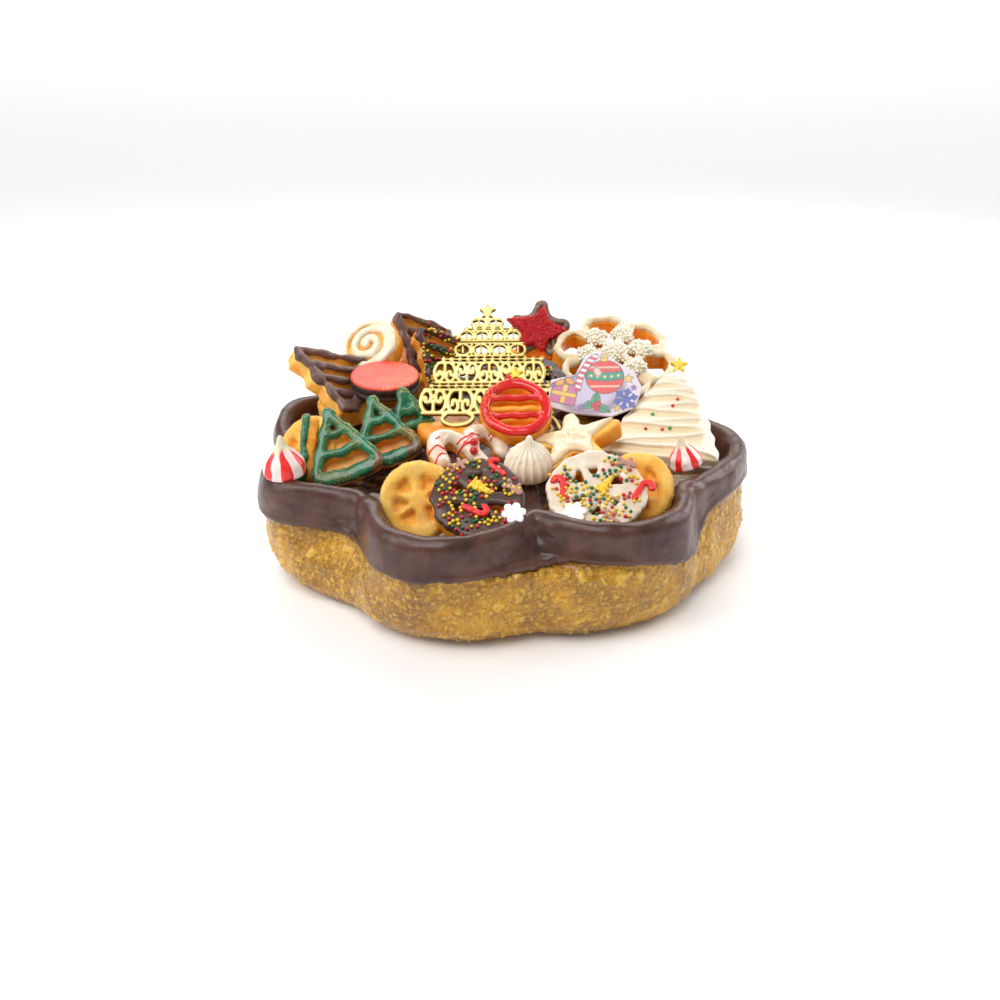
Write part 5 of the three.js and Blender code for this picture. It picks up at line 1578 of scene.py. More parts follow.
def stars():
    pose = Pose([39.5, -38, 83.6], -140, 70, 49)
    o = star_arms((20.5, 25.5, 20.5, 22, 21), 8.6, 3.9, 0, 3.0)
    d2 = o
    f = dough_field(d2, 13, top=-1.4, r=1.8, r_low=3, wob=0.4, seed=803)
    solid("white_star_fritter_dough", pose, f, (-29, -29, -14), (29, 29, 1), 0.95, DOUGH, node="white_star_fritter", slot="white_iced_dough", seed=803, tone=0.05)
    cap = lambda U, W: smax(smax(o(U, W), o(U + 0.8, W - 2.2), 1.5), np.minimum(U - 10.5, (0.9 * (U - 9.6) - 2.5 - W) / 1.345), 1.2)
    g0 = icing_field(cap, inset=-0.3, top=0.9, low=-3.2, r=2.4, wob=0.7, drip=1.7, seed=807)
    g = lambda P: g0(P) - 0.9 * np.exp(-(P[:, 0] ** 2 + P[:, 1] ** 2) / 90) * (0.8 + 1.1 * vnoise(P / 3.1, 811) + 0.6 * vnoise(P / 1.6, 812)) * (P[:, 2] > -1)
    solid("white_star_fritter_icing", pose, g, (-30, -30, -8), (30, 30, 4), 0.8, IVORY, node="white_star_fritter", seed=807)
    # the star at the back
    pose = Pose([24.5, 107, 106.5], -91, 36, 0)
    o2 = star_arms((17.5, 17.2, 16, 16, 17), 10.5, 4.0, -5, 3.0)
    d2 = lambda U, W: o2(U, W) - 1.0
    f = dough_field(d2, 12, top=-1.2, r=2.2, r_low=3, wob=0.4, seed=823)
    solid("star_fritter_back_dough", pose, f, (-25, -25, -13), (25, 25, 1), 1.1, DOUGH, node="star_fritter_back", slot="chocolate_iced_dough", seed=823)
    g = icing_field(lambda U, W: np.abs(o2(U, W) + 1.6) - 2.6, inset=-0.2, top=1.5, low=-2.4, r=2.4, wob=0.6, drip=1.0, seed=827)
    solid("star_fritter_back_icing", pose, g, (-25, -25, -6), (25, 25, 3), 0.85, chocolate("chocolate_gold_dust", gold=1.0, base=(120, 92, 76), dark=(90, 66, 54)), node="star_fritter_back", seed=827)
    # coarse red sugar star
    pose = Pose([23.4, 103.0, 107.3], -91, 36, 0)
    tips = [(3.8, 17.1), (7.0, 6.7), (18.6, 1.1), (6.1, -6.0), (3.0, -14.5), (-3.5, -8.0), (-15, -13.5), (-9.6, -1.4), (-21.5, 8.6), (-3.4, 9.6)]
    o3 = lambda U, W: poly(U, W, tips)
    f = lambda P: plate(o3(P[:, 0], P[:, 1]) - 0.7, P[:, 2] - 0.4 * vnoise(P / 4, 5), -3, 0.6 , 1.2, 0.5)
    V, F = solid("red_sugar_star_body", pose, f, (-23, -23, -4), (23, 23, 2), 0.9, plain("red_sugar_base", srgb(208, 20, 28), 0.4, bump=0.3, mm=1.0), node="red_sugar_star", slot="red_sugar", seed=833)
    g4 = np.random.default_rng(17)
    P, N = surface_points(g4, V, F, 9000, lambda m, nn: (m[:, 2] > -2.2) * 1.0)
    K = spread(g4, np.concatenate([P, N], 1), 0.95, 1250)
    rod = (GRAIN[0] * np.array([1.15, 0.42, 0.42]), GRAIN[1])
    ax = turns(g4, len(K), K[:, 3:])
    W, FF = many(rod, pose.out(K[:, :3] + K[:, 3:] * g4.uniform(0.05, 0.55, (len(K), 1))), np.einsum("nij,jk->nik", ax, pose.M), g4.uniform(0.8, 1.15, len(K)) * 1.05)
    obj("red_sugar_grains", W, FF, plain("red_sugar_grain", srgb(244, 26, 40), 0.18, sss=0.1, vary=0.1, coat=0.4))


stars()

# =====================================================================================
# cream tree
# =====================================================================================
def cream_tree():
    pose = Pose([94.5, -14, 88], -102, 58, 0)
    W, H = 72, 66
    nu, nv = 120, 230
    u = np.linspace(-1, 1, nu)
    v = np.linspace(0, 1, nv)
    U, Vv = np.meshgrid(u, v, indexing="ij")
    crests = [                                  # from the top down; pairs meet at the right
        [(-10, 31.5), (2, 32), (14, 31)], [(-12, 27.2), (2, 29.4), (14, 30.6)],
        [(-9.5, 26.9), (3.3, 27.2), (18.7, 24.6), (19.6, 23.6)], [(-14.2, 16.6), (-3.8, 20.2), (11.2, 22.3), (19.6, 23.0)],
        [(-11.2, 16.4), (4, 17.9), (19.2, 16.3), (22.6, 14.6)], [(-17.9, 7.8), (-2.7, 7.6), (12, 11.6), (22.6, 14.2)],
        [(-16.3, 7.1), (-2.4, 4.6), (12.6, 4.9), (23.9, 4.4)], [(-22.9, -2.9), (-9, -5.2), (5.7, -2.3), (20.3, 1.0), (23.9, 3.0)],
        [(-24.3, -3.7), (-9, -6.2), (6, -7.0), (20.7, -5.5), (26.9, -7.4)], [(-25.4, -20.0), (-15.2, -18.3), (-0.5, -16.4), (13.9, -13.6), (26.9, -8.6)],
        [(-25.4, -20.9), (-7.3, -22.8), (7.3, -21.8), (21.9, -22.9), (32.7, -24.5), (40, -27.4)]]
    ends = [14, 14, 19.6, 19.6, 22.6, 22.6, 23.9, 23.9, 26.9, 26.9, 38]

    def folds(X, Y):
        """Draped passes of cream: sharp crests with a hollow under each."""
        Y = Y + 0.25 * vnoise(np.stack([X / 8, Y / 16, 0 * X], -1).reshape(-1, 3), 21).reshape(X.shape)
        ys = []
        for c, e in zip(crests, ends):
            xs, yy = np.array(c).T
            ys.append(np.interp(X, xs, yy))
        out = np.zeros(X.shape)
        for k, y0 in enumerate(ys):
            y1 = ys[k + 1] if k + 1 < len(ys) else y0 - 11
            gap = np.maximum(0.05, y0 - y1)
            live = smooth(0, 3.5, ends[k] - X) if k + 1 < len(ys) else smooth(0, 4, 36 - X)
            q = (y0 - Y) / gap
            inside = (q > 0) & (q <= 1)
            q = np.clip(q, 0, 1)
            depth = np.minimum(2.2, 0.34 * gap) * (0.85 if k % 2 == 0 else 0.7)
            out = np.where(inside, -depth * (1 - np.exp(-q * gap / 0.55)) * (1 - q) ** 0.7 * live, out)
            lip = np.exp(-((Y - y0 - 0.15) / 0.42) ** 2)
            out = out + 0.62 * lip * live * smooth(0.3, 2.0, gap)
        return out

    half = (W / 2) * (0.12 + 0.88 * (1 - Vv) ** 0.72)
    X = U * half + 6 * Vv
    Y = Vv * H - 0.42 * H - 4 * (1 - U * U) * (1 - Vv)
    dome = -8 + 8.8 * np.sqrt(np.maximum(0, 1 - 0.93 * np.abs(U) ** 2.6)) * (1 - 0.35 * Vv)
    edge = smooth(1.0, 0.93, np.abs(U)) * smooth(0, 0.02, Vv) * smooth(1, 0.97, Vv)
    Z = dome + folds(X, Y) * edge * 1.15
    cap = smooth(0.93, 1.0, Vv)
    Z = Z - 5.5 * cap ** 2
    # rounded bottom edge
    Z = Z - 7.0 * (1 - smooth(0, 0.045, Vv)) ** 1.6
    top = np.stack([X, Y, Z], -1)
    # side sway: the fold edges show in the outline too
    sway = 0.5 * folds(X, Y)
    top[..., 0] += np.sign(U) * np.abs(U) ** 8 * 0.6 * np.sin(Y / 10.6 * 2 * np.pi + 1.0)
    bot = top.copy()
    bot[..., 2] = -17
    bot[..., 0] = 6 * Vv + (X - 6 * Vv) * 0.96
    n = nu * nv
    T, B = top.reshape(-1, 3), bot.reshape(-1, 3)
    i, j = np.meshgrid(np.arange(nu - 1), np.arange(nv - 1), indexing="ij")
    a = i * nv + j
    F1 = np.stack([a, a + nv, a + nv + 1, a + 1], -1).reshape(-1, 4)
    # underside on a coarse grid is a fan of its outline
    loop = np.concatenate([np.arange(nu) * nv, (nu - 1) * nv + np.arange(1, nv), (nu - 2 - np.arange(nu - 1)) * nv + nv - 1, nv - 2 - np.arange(nv - 2)])
    ring0 = T[loop]
    rows = [ring0]
    for z in (0.25, 0.5, 0.75, 1.0):
        r = ring0.copy()
        r[:, 2] = ring0[:, 2] * (1 - z) + (-16.6) * z
        mid = np.array([0, -2.0])
        r[:, :2] = mid + (ring0[:, :2] - mid) * (1 + 0.012 * np.sin(z * np.pi) - 0.03 * z)
        rows.append(r)
    m = len(loop)
    Vall = [T]
    base = len(T)
    for r in rows[1:]:
        Vall.append(r)
    Fs = []
    idx = [loop] + [base + k * m + np.arange(m) for k in range(len(rows) - 1)]
    for k in range(len(rows) - 1):
        p, q = idx[k], idx[k + 1]
        Fs.append(np.stack([np.roll(p, -1), p, q, np.roll(q, -1)], 1))
    Vall.append(np.array([[0, -2.0, -16.8]]))
    cidx = base + (len(rows) - 1) * m
    last = idx[-1]
    Tc = np.stack([np.roll(last, -1), last, np.full(m, cidx)], 1)
    V = np.concatenate(Vall)
    # Painted shade: the hollow under each crest is painted a darker, yellower cream.
    fold_shade = np.concatenate([np.clip(-(folds(X, Y) * edge).reshape(-1) / 1.7, 0, 1), np.zeros(len(V) - n)])
    mt = Mat("whipped_cream")
    h = mt.attr("hollow")
    # Painted shade: darker, yellower cream where the folds are hollow.
    c = mt.mix(mt.span(h, 0.05, 0.9), srgb(243, 236, 220), srgb(232, 212, 166))
    c = mt.mix(mt.span(mt.noise(16, 2, 0.5), 0.35, 0.75, 0, 0.25), c, srgb(250, 240, 226))
    s = mt.principled(Base_Color=c, Roughness=0.38, Normal=mt.bump(mt.noise(5, 2, 0.5), 0.35, strength=0.4), Subsurface_Weight=0.22, Subsurface_Radius=(0.004, 0.003, 0.002),
                      Subsurface_Scale=0.5, Specular_IOR_Level=0.4)
    obj("cream_tree_piped", pose.out(V), [np.concatenate([F1] + Fs), Tc], mt.done(s), dict(hollow=fold_shade), nodes="cream_tree", slot=None)
    # little coloured pearls on it
    P = []
    for x, y in [(8.0, 14.7), (5.5, 9.1), (-8.8, -9.6), (0.6, -9.4), (-5.8, 1.9), (5.2, -8.3)]:
        k = np.argmin((T[:, 0] - x) ** 2 + (T[:, 1] - y) ** 2)
        P.append(T[k] + [0, 0, 0.45])
    P = pose.out(np.array(P))
    g = np.random.default_rng(3)
    Wv, FF = many(ico(2), P[:4], turns(g, 4), np.full(4, 1.05))
    obj("cream_pearls_red", Wv, FF, plain("pearl_red", srgb(214, 34, 34), 0.25, sss=0.05, vary=0.08, coat=0.3))
    Wv, FF = many(ico(2), P[4:], turns(g, 2), np.full(2, 1.15))
    obj("cream_pearls_green", Wv, FF, plain("pearl_green", srgb(70, 160, 70), 0.25, sss=0.05, vary=0.08, coat=0.3))


cream_tree()

# =====================================================================================
# gold topper: a tree of scrolls
# =====================================================================================
def gold_card(name, edge=srgb(104, 78, 34)):
    m = Mat(name)
    face = m.attr("face")
    n = m.noise(18, 2, 0.5)
    c = m.mix(m.span(n, 0.3, 0.7), srgb(216, 190, 108), srgb(238, 218, 142))
    # The card's cut sides get the dark edge colour: partly the scorched cut edge, partly painted shade on the sides.
    c = m.mix(m.span(face, 0.35, 0.65), edge, c)
    s = m.principled(Base_Color=c, Roughness=m.mix(m.noise(6, 2, 0.5), (0.3, 0.3, 0.3), (0.42, 0.42, 0.42)), Metallic=0.45, Normal=m.bump(m.noise(0.8, 2, 0.5), 0.03), Specular_IOR_Level=0.5)
    return m.done(s)


GOLD = gold_card("gold_card_satin")


def topper():
    pose = Pose([-11, -5, 83], -90, 46, 0)
    lines = []                                     # (points, radius)

    def stroke(pts, r, n=24, curve=True):
        lines.append((smooth_path(pts, n) if curve else np.asarray(pts, float), r))

    def scroll(cx, y, w, h, r, flip=1):
        """Two mirrored volutes rising from one foot."""
        for s in (-1, 1):
            pts = [(cx, y), (cx + s * w * 0.30, y + h * 0.04), (cx + s * w * 0.47, y + h * 0.38), (cx + s * w * 0.42, y + h * 0.80), (cx + s * w * 0.24, y + h * 0.97),
                   (cx + s * w * 0.09, y + h * 0.80), (cx + s * w * 0.12, y + h * 0.52), (cx + s * w * 0.27, y + h * 0.46), (cx + s * w * 0.29, y + h * 0.66)]
            if flip < 0:
                pts = [(px, 2 * y + h - py) for px, py in pts]
            stroke(pts, r, 34)
        stroke([(cx, y + (0 if flip > 0 else h)), (cx, y + h * 0.5)], r * 0.9, 2, False)

    def bar(x0, x1, y, r):
        lines.append((np.array([(x0, y), (x1, y)], float), r))
    # tiers from the bottom up: left, right, foot, height, number of scrolls
    tiers = [(-41, 42, 3.5, 15.5, 5, 1.25), (-33, 36, 24.2, 13.6, 5, 1.1), (-21, 25, 42.8, 8.6, 4, 0.8), (-18, 21.5, 53.6, 7.2, 4, 0.72), (-11, 11, 64.2, 5.4, 2, 0.7)]
    for k, (x0, x1, y, h, n, r) in enumerate(tiers):
        w = (x1 - x0) / n
        for i in range(n):
            cx = x0 + w * (i + 0.5)
            if h > 10:
                scroll(cx, y, w * 0.98, h, r, 1 if (i + k) % 2 == 0 else -1)
            else:
                # small tiers: a leaf between two arcs
                for s in (-1, 1):
                    stroke([(cx, y), (cx + s * w * 0.34, y + h * 0.22), (cx + s * w * 0.36, y + h * 0.72), (cx, y + h)], r, 16)
                stroke([(cx, y + h * 0.25), (cx, y + h * 0.72)], r * 0.9, 2, False)
                if i:
                    stroke([(cx - w / 2, y), (cx - w / 2, y + h)], r * 0.85, 2, False)
        bar(x0 + 1.5, x1 - 1.5, y - 0.2, r * 0.8)
        bar(x0 + 2.5, x1 - 2.5, y + h + 0.1, r * 0.7)
    bar(0, 0.01, 71, 1.0)
    lines.append((np.array([(0, 69), (0, 73)], float), 1.3))
    # chains of small stars between the tiers
    chain = []
    for x0, x1, y, n in ((-34, 38, 21.7, 15), (-27, 34, 40.3, 13), (-13, 15, 62.4, 6)):
        for i in range(n):
            chain.append((x0 + (x1 - x0) * i / (n - 1), y))
        bar(x0, x1, y, 0.45)
    # a low scroll at the left and one at the right, like the tails of the lowest tier
    stroke([(-24, 4), (-27, -1), (-21, -4.6), (-12, -3.4), (-8, 0.5), (-11, 3)], 1.2, 34)
    stroke([(26, 4), (34, -1), (40, -7), (36, -11), (31, -8.5), (34, -5)], 1.2, 34)
    stroke([(36, 3.6), (42, -1.6), (44.5, -7)], 1.1, 20)
    st = star_outline(6.2, 2.7, 5, 0)
    small = star_outline(2.3, 1.0, 5, 0)

    def f(P):
        U, Wd = P[:, 0], P[:, 1]
        d = np.full(len(P), 99.0)
        # strokes in chunks near each point's band
        for pts, r in lines:
            y0, y1 = pts[:, 1].min() - 3, pts[:, 1].max() + 3
            x0, x1 = pts[:, 0].min() - 3, pts[:, 0].max() + 3
            k = np.where((Wd > y0) & (Wd < y1) & (U > x0) & (U < x1))[0]
            if len(k):
                d[k] = np.minimum(d[k], line(U[k], Wd[k], pts, r))
        k = np.where((Wd > 66) & (np.abs(U) < 9))[0]
        d[k] = np.minimum(d[k], st(U[k], Wd[k] - 75.4))
        for cx, cy in chain:
            k = np.where((np.abs(U - cx) < 4) & (np.abs(Wd - cy) < 4))[0]
            if len(k):
                d[k] = np.minimum(d[k], small(U[k] - cx, Wd[k] - cy))
        return plate(d, P[:, 2], -3, 0, 0.18)
    V, F = nets(f, (-44, -13, -3.2), (46, 82, 0.2), 0.68, project=2)
    face = smooth(-0.7, -0.12, V[:, 2])
    # a card is never quite flat
    V = V.copy()
    V[:, 2] += 0.5 * np.sin(V[:, 1] / 23 + 0.5) + 0.3 * np.sin(V[:, 0] / 19)
    obj("gold_scroll_tree", pose.out(V), F, GOLD, dict(face=face), nodes="gold_topper", slot="gold_card")


topper()

# =====================================================================================
# printed card
# =====================================================================================
def plaque():
    pose = Pose([55.5, 7.2, 99.2], -92, 48, 0)
    pts = [(-29, -14), (-12, -19), (10, -21), (24, -15), (29, -2), (24, 10), (10, 19), (4, 25), (-6, 21), (-12, 8), (-27, 4)]
    f = lambda P: plate(poly(P[:, 0], P[:, 1], pts) + 0.9 - 0.9, P[:, 2], -1.6, 0, 0.25)
    V, F = nets(f, (-30, -22, -1.8), (30, 26, 0.2), 0.46, project=2)
    U, W = V[:, 0], V[:, 1]
    C = np.tile(np.array(srgb(228, 218, 226)), (len(V), 1))

    def paint(d, col, line_w=0.32, soft=0.28, edge=(108, 92, 104)):
        nonlocal C
        k = smooth(line_w + soft, line_w, d)[:, None]
        C = C * (1 - k) + np.array(srgb(*edge)) * k
        k = smooth(soft, -soft, d)[:, None]
        C = C * (1 - k) + np.array(srgb(*col)) * k

    def ell(cx, cy, a, b, rot=0.0):
        c, s = math.cos(math.radians(rot)), math.sin(math.radians(rot))
        x, y = (U - cx) * c + (W - cy) * s, -(U - cx) * s + (W - cy) * c
        q = np.sqrt((x / a) ** 2 + (y / b) ** 2)
        return (q - 1) * min(a, b)

    def box(cx, cy, a, b, rot=0.0):
        c, s = math.cos(math.radians(rot)), math.sin(math.radians(rot))
        x, y = np.abs((U - cx) * c + (W - cy) * s) - a, np.abs(-(U - cx) * s + (W - cy) * c) - b
        return np.hypot(np.maximum(x, 0), np.maximum(y, 0)) + np.minimum(np.maximum(x, y), 0)

    def cut(d, *others):
        for o in others:
            d = np.maximum(d, o)
        return d
    # sky blue and mauve washes
    paint(ell(-2, -4, 17, 13, 10), (206, 198, 222), 0.0, 5.0)
    # round red bauble with a teal band and pale dots
    B = ell(6, 6, 11.5, 11.5)
    paint(B, (226, 92, 84))
    paint(cut(B + 0.3, np.abs(W - 6 - 0.12 * (U - 6) ** 2 * 0.1) - 2.6), (74, 160, 138))
    for k in range(-2, 3):
        paint(ell(6 + k * 4.2, 6 + 0.012 * (k * 4.2) ** 2, 0.9, 0.9), (246, 226, 150), 0.0)
    paint(cut(B + 0.3, np.abs(W - 12.6) - 0.7), (244, 190, 172), 0.0)
    paint(cut(B + 0.3, np.abs(W + 0.6) - 0.7), (244, 190, 172), 0.0)
    paint(box(6, 18.4, 1.9, 1.4), (240, 210, 112))
    paint(np.abs(ell(6, 21.0, 1.5, 1.5)) - 0.4, (240, 210, 112), 0.2)
    paint(ell(1.6, 9.6, 2.0, 3.0, 25), (248, 206, 196), 0.0, 0.9)
    # blue snow crystal
    for k in range(6):
        a = math.radians(60 * k + 15)
        ax, ay = 18.5, -9.5
        paint(seg(U, W, (ax, ay), (ax + 6.6 * math.cos(a), ay + 6.6 * math.sin(a)), 0.75), (92, 116, 208), 0.25)
        for s in (-1, 1):
            bx, by = ax + 4.0 * math.cos(a), ay + 4.0 * math.sin(a)
            paint(seg(U, W, (bx, by), (bx + 2.2 * math.cos(a + s * 0.9), by + 2.2 * math.sin(a + s * 0.9)), 0.55), (92, 116, 208), 0.2)
    # parcel in mauve with a yellow ribbon
    G = box(-19, -5.5, 7.6, 6.6, -12)
    paint(G, (206, 128, 168))
    paint(cut(G + 0.2, box(-19, -5.5, 1.5, 9, -12)), (240, 204, 110), 0.2)
    paint(cut(G + 0.2, box(-19, -5.5, 9, 1.3, -12)), (240, 204, 110), 0.2)
    paint(ell(-21.4, 2.2, 3.0, 1.7, 25), (244, 168, 96))
    paint(ell(-15.4, 3.2, 3.0, 1.7, -40), (244, 168, 96))
    # holly: three teal leaves and red berries
    for cx, cy, rot in ((-3.5, -13.0, 20), (4.5, -15.5, -28), (0.5, -9.5, 80)):
        c, s = math.cos(math.radians(rot)), math.sin(math.radians(rot))
        x, y = (U - cx) * c + (W - cy) * s, -(U - cx) * s + (W - cy) * c
        leaf = np.abs(y) - (2.6 * np.cos(np.clip(x / 5.6, -1, 1) * math.pi / 2) * (0.72 + 0.28 * np.abs(np.cos(x * 1.15)))) + np.maximum(0, np.abs(x) - 5.6)
        paint(leaf, (92, 166, 130))
        paint(np.maximum(np.abs(y) - 0.16, np.abs(x) - 4.6), (60, 116, 96), 0.0)
    for cx, cy in ((-0.6, -13.6), (1.8, -12.2), (0.9, -15.4)):
        paint(ell(cx, cy, 1.5, 1.5), (222, 74, 70))
    # striped candy stick
    S = line(U, W, [(-10.5, -2), (-9.0, 6), (-5.5, 13.5), (-2.5, 18), (0.5, 20.5)], 1.7)
    paint(S, (246, 238, 236))
    paint(cut(S + 0.15, np.abs(((U * 0.35 + W) % 4.2) - 2.1) - 0.95), (222, 96, 110), 0.0)
    # blue and yellow stars
    for cx, cy, r, col in ((20.5, 4.5, 3.2, (244, 208, 112)), (13.2, -15.6, 2.3, (238, 196, 110)), (-8.6, -14.6, 2.2, (150, 132, 204)), (23.6, -1.6, 1.9, (150, 132, 204)), (-26, 0.5, 1.6, (150, 132, 204))):
        paint(star_outline(r, r * 0.45, 5, 0)(U - cx, W - cy), col, 0.22)
    top = smooth(-0.5, -0.1, V[:, 2])[:, None]
    C = C * top + np.array(srgb(206, 198, 196)) * (1 - top)
    V = V.copy()
    V[:, 2] += 0.8 * np.sin(V[:, 0] / 16) + 0.4 * np.sin(V[:, 1] / 13 + 1)
    m = Mat("printed_card")
    c = m.attr("print", True)
    g = m.voronoi(0.5)
    c = m.mix(m.span(g, 0.2, 0.05, 0, 0.18), c, (0.95, 0.93, 0.93))
    c = m.mix(m.span(m.noise(1.2, 3, 0.7), 0.3, 0.7, 0.0, 0.12), c, (0.75, 0.7, 0.75))
    s = m.principled(Base_Color=c, Roughness=0.5, Normal=m.bump(g, 0.08), Specular_IOR_Level=0.4, Sheen_Weight=0.1, Sheen_Roughness=0.4)
    obj("printed_plaque_card", pose.out(V), F, m.done(s), dict(print=C), nodes="printed_plaque", slot="printed_card")


plaque()


def gold_star(name, at, az, el, R, r, seed):
    pose = Pose(at, az, el, 0)
    o = star_outline(R, r, 5, 0.1)
    f = lambda P: plate(o(P[:, 0], P[:, 1]) - 0.3 + 0.2 * vnoise(P / 1.6, seed), P[:, 2] - 0.35 * vnoise(P / 1.2, seed + 1) + 0.10 * np.hypot(P[:, 0], P[:, 1]) - 0.4, -2, 0.2, 0.6)
    V, F = nets(f, (-R - 1, -R - 1, -2.6), (R + 1, R + 1, 1.4), 0.4)
    m = Mat(name + "_gold")
    n = m.noise(1.0, 3, 0.6)
    c = m.mix(m.span(n, 0.3, 0.7), srgb(214, 170, 34), srgb(250, 222, 92))
    s = m.principled(Base_Color=c, Roughness=0.28, Metallic=0.5, Normal=m.bump(m.noise(0.9, 3, 0.6), 0.3), Specular_IOR_Level=0.5)
    obj(name + "_leaf", pose.out(V), F, m.done(s), nodes=name, slot="gold_card")


gold_star("gold_star_cream", [109, 22, 108], -100, 50, 5.2, 2.3, 5)
gold_star("gold_star_bauble", [7, 0.2, 109.6], -90, 50, 4.2, 1.9, 8)

# =====================================================================================
# sprinkles
# =====================================================================================
PEARLS = {"gold": [], "green": [], "red": []}


def sprinkle(key, marks, n, seed, gap=2.05, weights=(0.54, 0.23, 0.23), r=1.08, clump=2.4, low=-5.0):
    """Pearls strewn in clumps round these points of a face."""
    pose, f = FIELD[key]
    g = np.random.default_rng(seed)
    marks = np.asarray(marks, float)
    c = g.integers(0, len(marks), n * 6)
    UV = marks[c] + g.normal(size=(n * 6, 2)) * clump
    P, ok = cast(f, UV, 5.0, low)
    P = P[ok]
    K = spread(g, P, gap, n)
    N = gradient(f, K)
    K = K + N * r * 0.62
    W = pose.out(K)
    lean = vnoise(K / 5.0, seed)
    pick = g.uniform(size=len(K)) + 0.28 * lean
    lim = np.cumsum(weights)
    for i, name in enumerate(PEARLS):
        lo = lim[i - 1] if i else -9
        hi = lim[i] if i < 2 else 9
        PEARLS[name].append(W[(pick > lo) & (pick <= hi)])


g0 = np.random.default_rng(19)
ang = g0.uniform(0, 2 * np.pi, 60)
rad = np.sqrt(g0.uniform(0.02, 1, 60)) * 21
ringpts = np.stack([np.cos(ang) * rad, np.sin(ang) * rad], 1)
sprinkle("round_iced_front_left", ringpts[:46], 145, 5, clump=2.0)
sprinkle("round_iced_front_right", ringpts[10:58] * 1.02, 140, 6, clump=2.0)
a2 = g0.uniform(0, 2 * np.pi, 30)
r2 = np.sqrt(g0.uniform(0.02, 1, 30)) * 20
sprinkle("round_chocolate_back", np.stack([np.cos(a2) * r2, np.sin(a2) * r2], 1), 70, 7, clump=2.0, r=0.95)
sprinkle("brown_tree_back_2", [(0, -20), (-2, -14), (-3, -8), (2, -5), (10, -4), (16, -3), (6, -19), (12, -17), (3, 4), (9, 6), (14, 8), (1, 13), (6, 16), (10, 15), (5, 22), (-6, -18), (-9, -10), (-6, 0)],
         105, 8, clump=2.2, r=0.95, gap=1.9, low=-4)
sprinkle("brown_tree_back_1", [(-4, -14), (-3, -8), (1, -13), (4, 2)], 16, 9, clump=2.0, r=0.95, gap=1.9, low=-4)
base = ico(2)
g1 = np.random.default_rng(23)
for name, col, kw in (("gold", srgb(244, 204, 40), dict(rough=0.26, metal=0.25)), ("green", srgb(4, 108, 58), dict(rough=0.2)), ("red", srgb(208, 30, 38), dict(rough=0.2))):
    P = np.concatenate(PEARLS[name])
    dent = base[0] * (1 + 0.04 * vnoise(base[0] * 2.3, 3))[:, None]
    W, FF = many(BALL, P, turns(g1, len(P)), g1.uniform(0.94, 1.12, len(P)))
    obj("pearls_" + name, W, FF, plain("sprinkle_" + name, col, sss=0.04, vary=0.08, coat=0.35, **kw))


# small sugar shapes pressed into the icing ----------------------------------------------
def charm(key, at, turn, d2, thick, h, name, mat, half, rough=0.15, seed=0, sink=0.35, dome=0.5):
    pose, f = FIELD[key]
    P, ok = cast(f, [at], 6.0, -9)
    N = gradient(f, P)[0]
    N = N * 0.55 + np.array([0, 0, 1]) * 0.45
    N /= np.linalg.norm(N)
    x = np.array([math.cos(math.radians(turn)), math.sin(math.radians(turn)), 0])
    x -= N * (x @ N)
    x /= np.linalg.norm(x)
    y = np.cross(N, x)
    lo, hi = -sink * thick, (1 - sink) * thick
    g = lambda Q: plate(d2(Q[:, 0], Q[:, 1]) + rough * vnoise(Q / 0.9, seed), Q[:, 2] - rough * vnoise(Q / 1.1, seed + 1), lo, hi, dome * thick * 0.6)
    V, F = nets(g, (-half, -half, lo - 0.3), (half, half, hi + 0.3), h)
    W = pose.out(P[0] + V[:, 0:1] * x + V[:, 1:2] * y + V[:, 2:3] * N)
    obj(name, W, F, mat)


SUGAR_RED = plain("sugar_red", srgb(236, 40, 40), 0.32, bump=0.1, mm=0.7, sss=0.1, vary=0.08, coat=0.15)
SUGAR_WHITE = plain("sugar_white", srgb(250, 250, 252), 0.4, bump=0.08, mm=0.7, sss=0.15, vary=0.03)
SUGAR_BROWN = plain("sugar_brown", srgb(186, 136, 116), 0.5, bump=0.08, mm=0.8, sss=0.08, vary=0.08)
SUGAR_GOLD = plain("sugar_gold", srgb(246, 200, 34), 0.25, metal=0.25, bump=0.2, mm=0.8, sss=0.0, vary=0.12, coat=0.3)


def fir(s):
    """A small fir with three toothed skirts, s long."""
    pts = []
    for k in range(4):
        y0 = s * (0.5 - k * 0.25)
        w = s * (0.09 + 0.06 * k)
        pts += [(w * 0.62, y0 - 0.03 * s), (w * 1.3, y0 - 0.19 * s)]
    pts = [(0.02, s * 0.55)] + pts
    o = pts + [(-x, y) for x, y in pts[::-1]]
    return lambda U, W: poly(U, W, o) - 0.25


def cane(s):
    p = smooth_path([(0, -s * 0.5), (0, 0), (0, s * 0.28), (s * 0.12, s * 0.45), (s * 0.3, s * 0.47), (s * 0.42, s * 0.3)], 14)
    return lambda U, W: line(U, W, p, s * 0.135)


def flake(s):
    def d(U, W):
        out = np.hypot(U, W) - s * 0.24
        for k in range(6):
            a = math.radians(60 * k)
            c, q = math.cos(a), math.sin(a)
            out = smin(out, seg(U, W, (0, 0), (c * s * 0.4, q * s * 0.4), s * 0.09), 0.3)
            out = smin(out, np.hypot(U - c * s * 0.41, W - q * s * 0.41) - s * 0.13, 0.25)
        return out
    return d


def ginger(s):
    def d(U, W):
        out = np.hypot(U, W - s * 0.34) - s * 0.17
        out = smin(out, seg(U, W, (0, s * 0.18), (0, -s * 0.12), s * 0.14), 0.3)
        for k in (-1, 1):
            out = smin(out, seg(U, W, (0, s * 0.1), (k * s * 0.32, s * 0.13), s * 0.09), 0.25)
            out = smin(out, seg(U, W, (0, -s * 0.12), (k * s * 0.2, -s * 0.42), s * 0.10), 0.25)
        return out
    return d


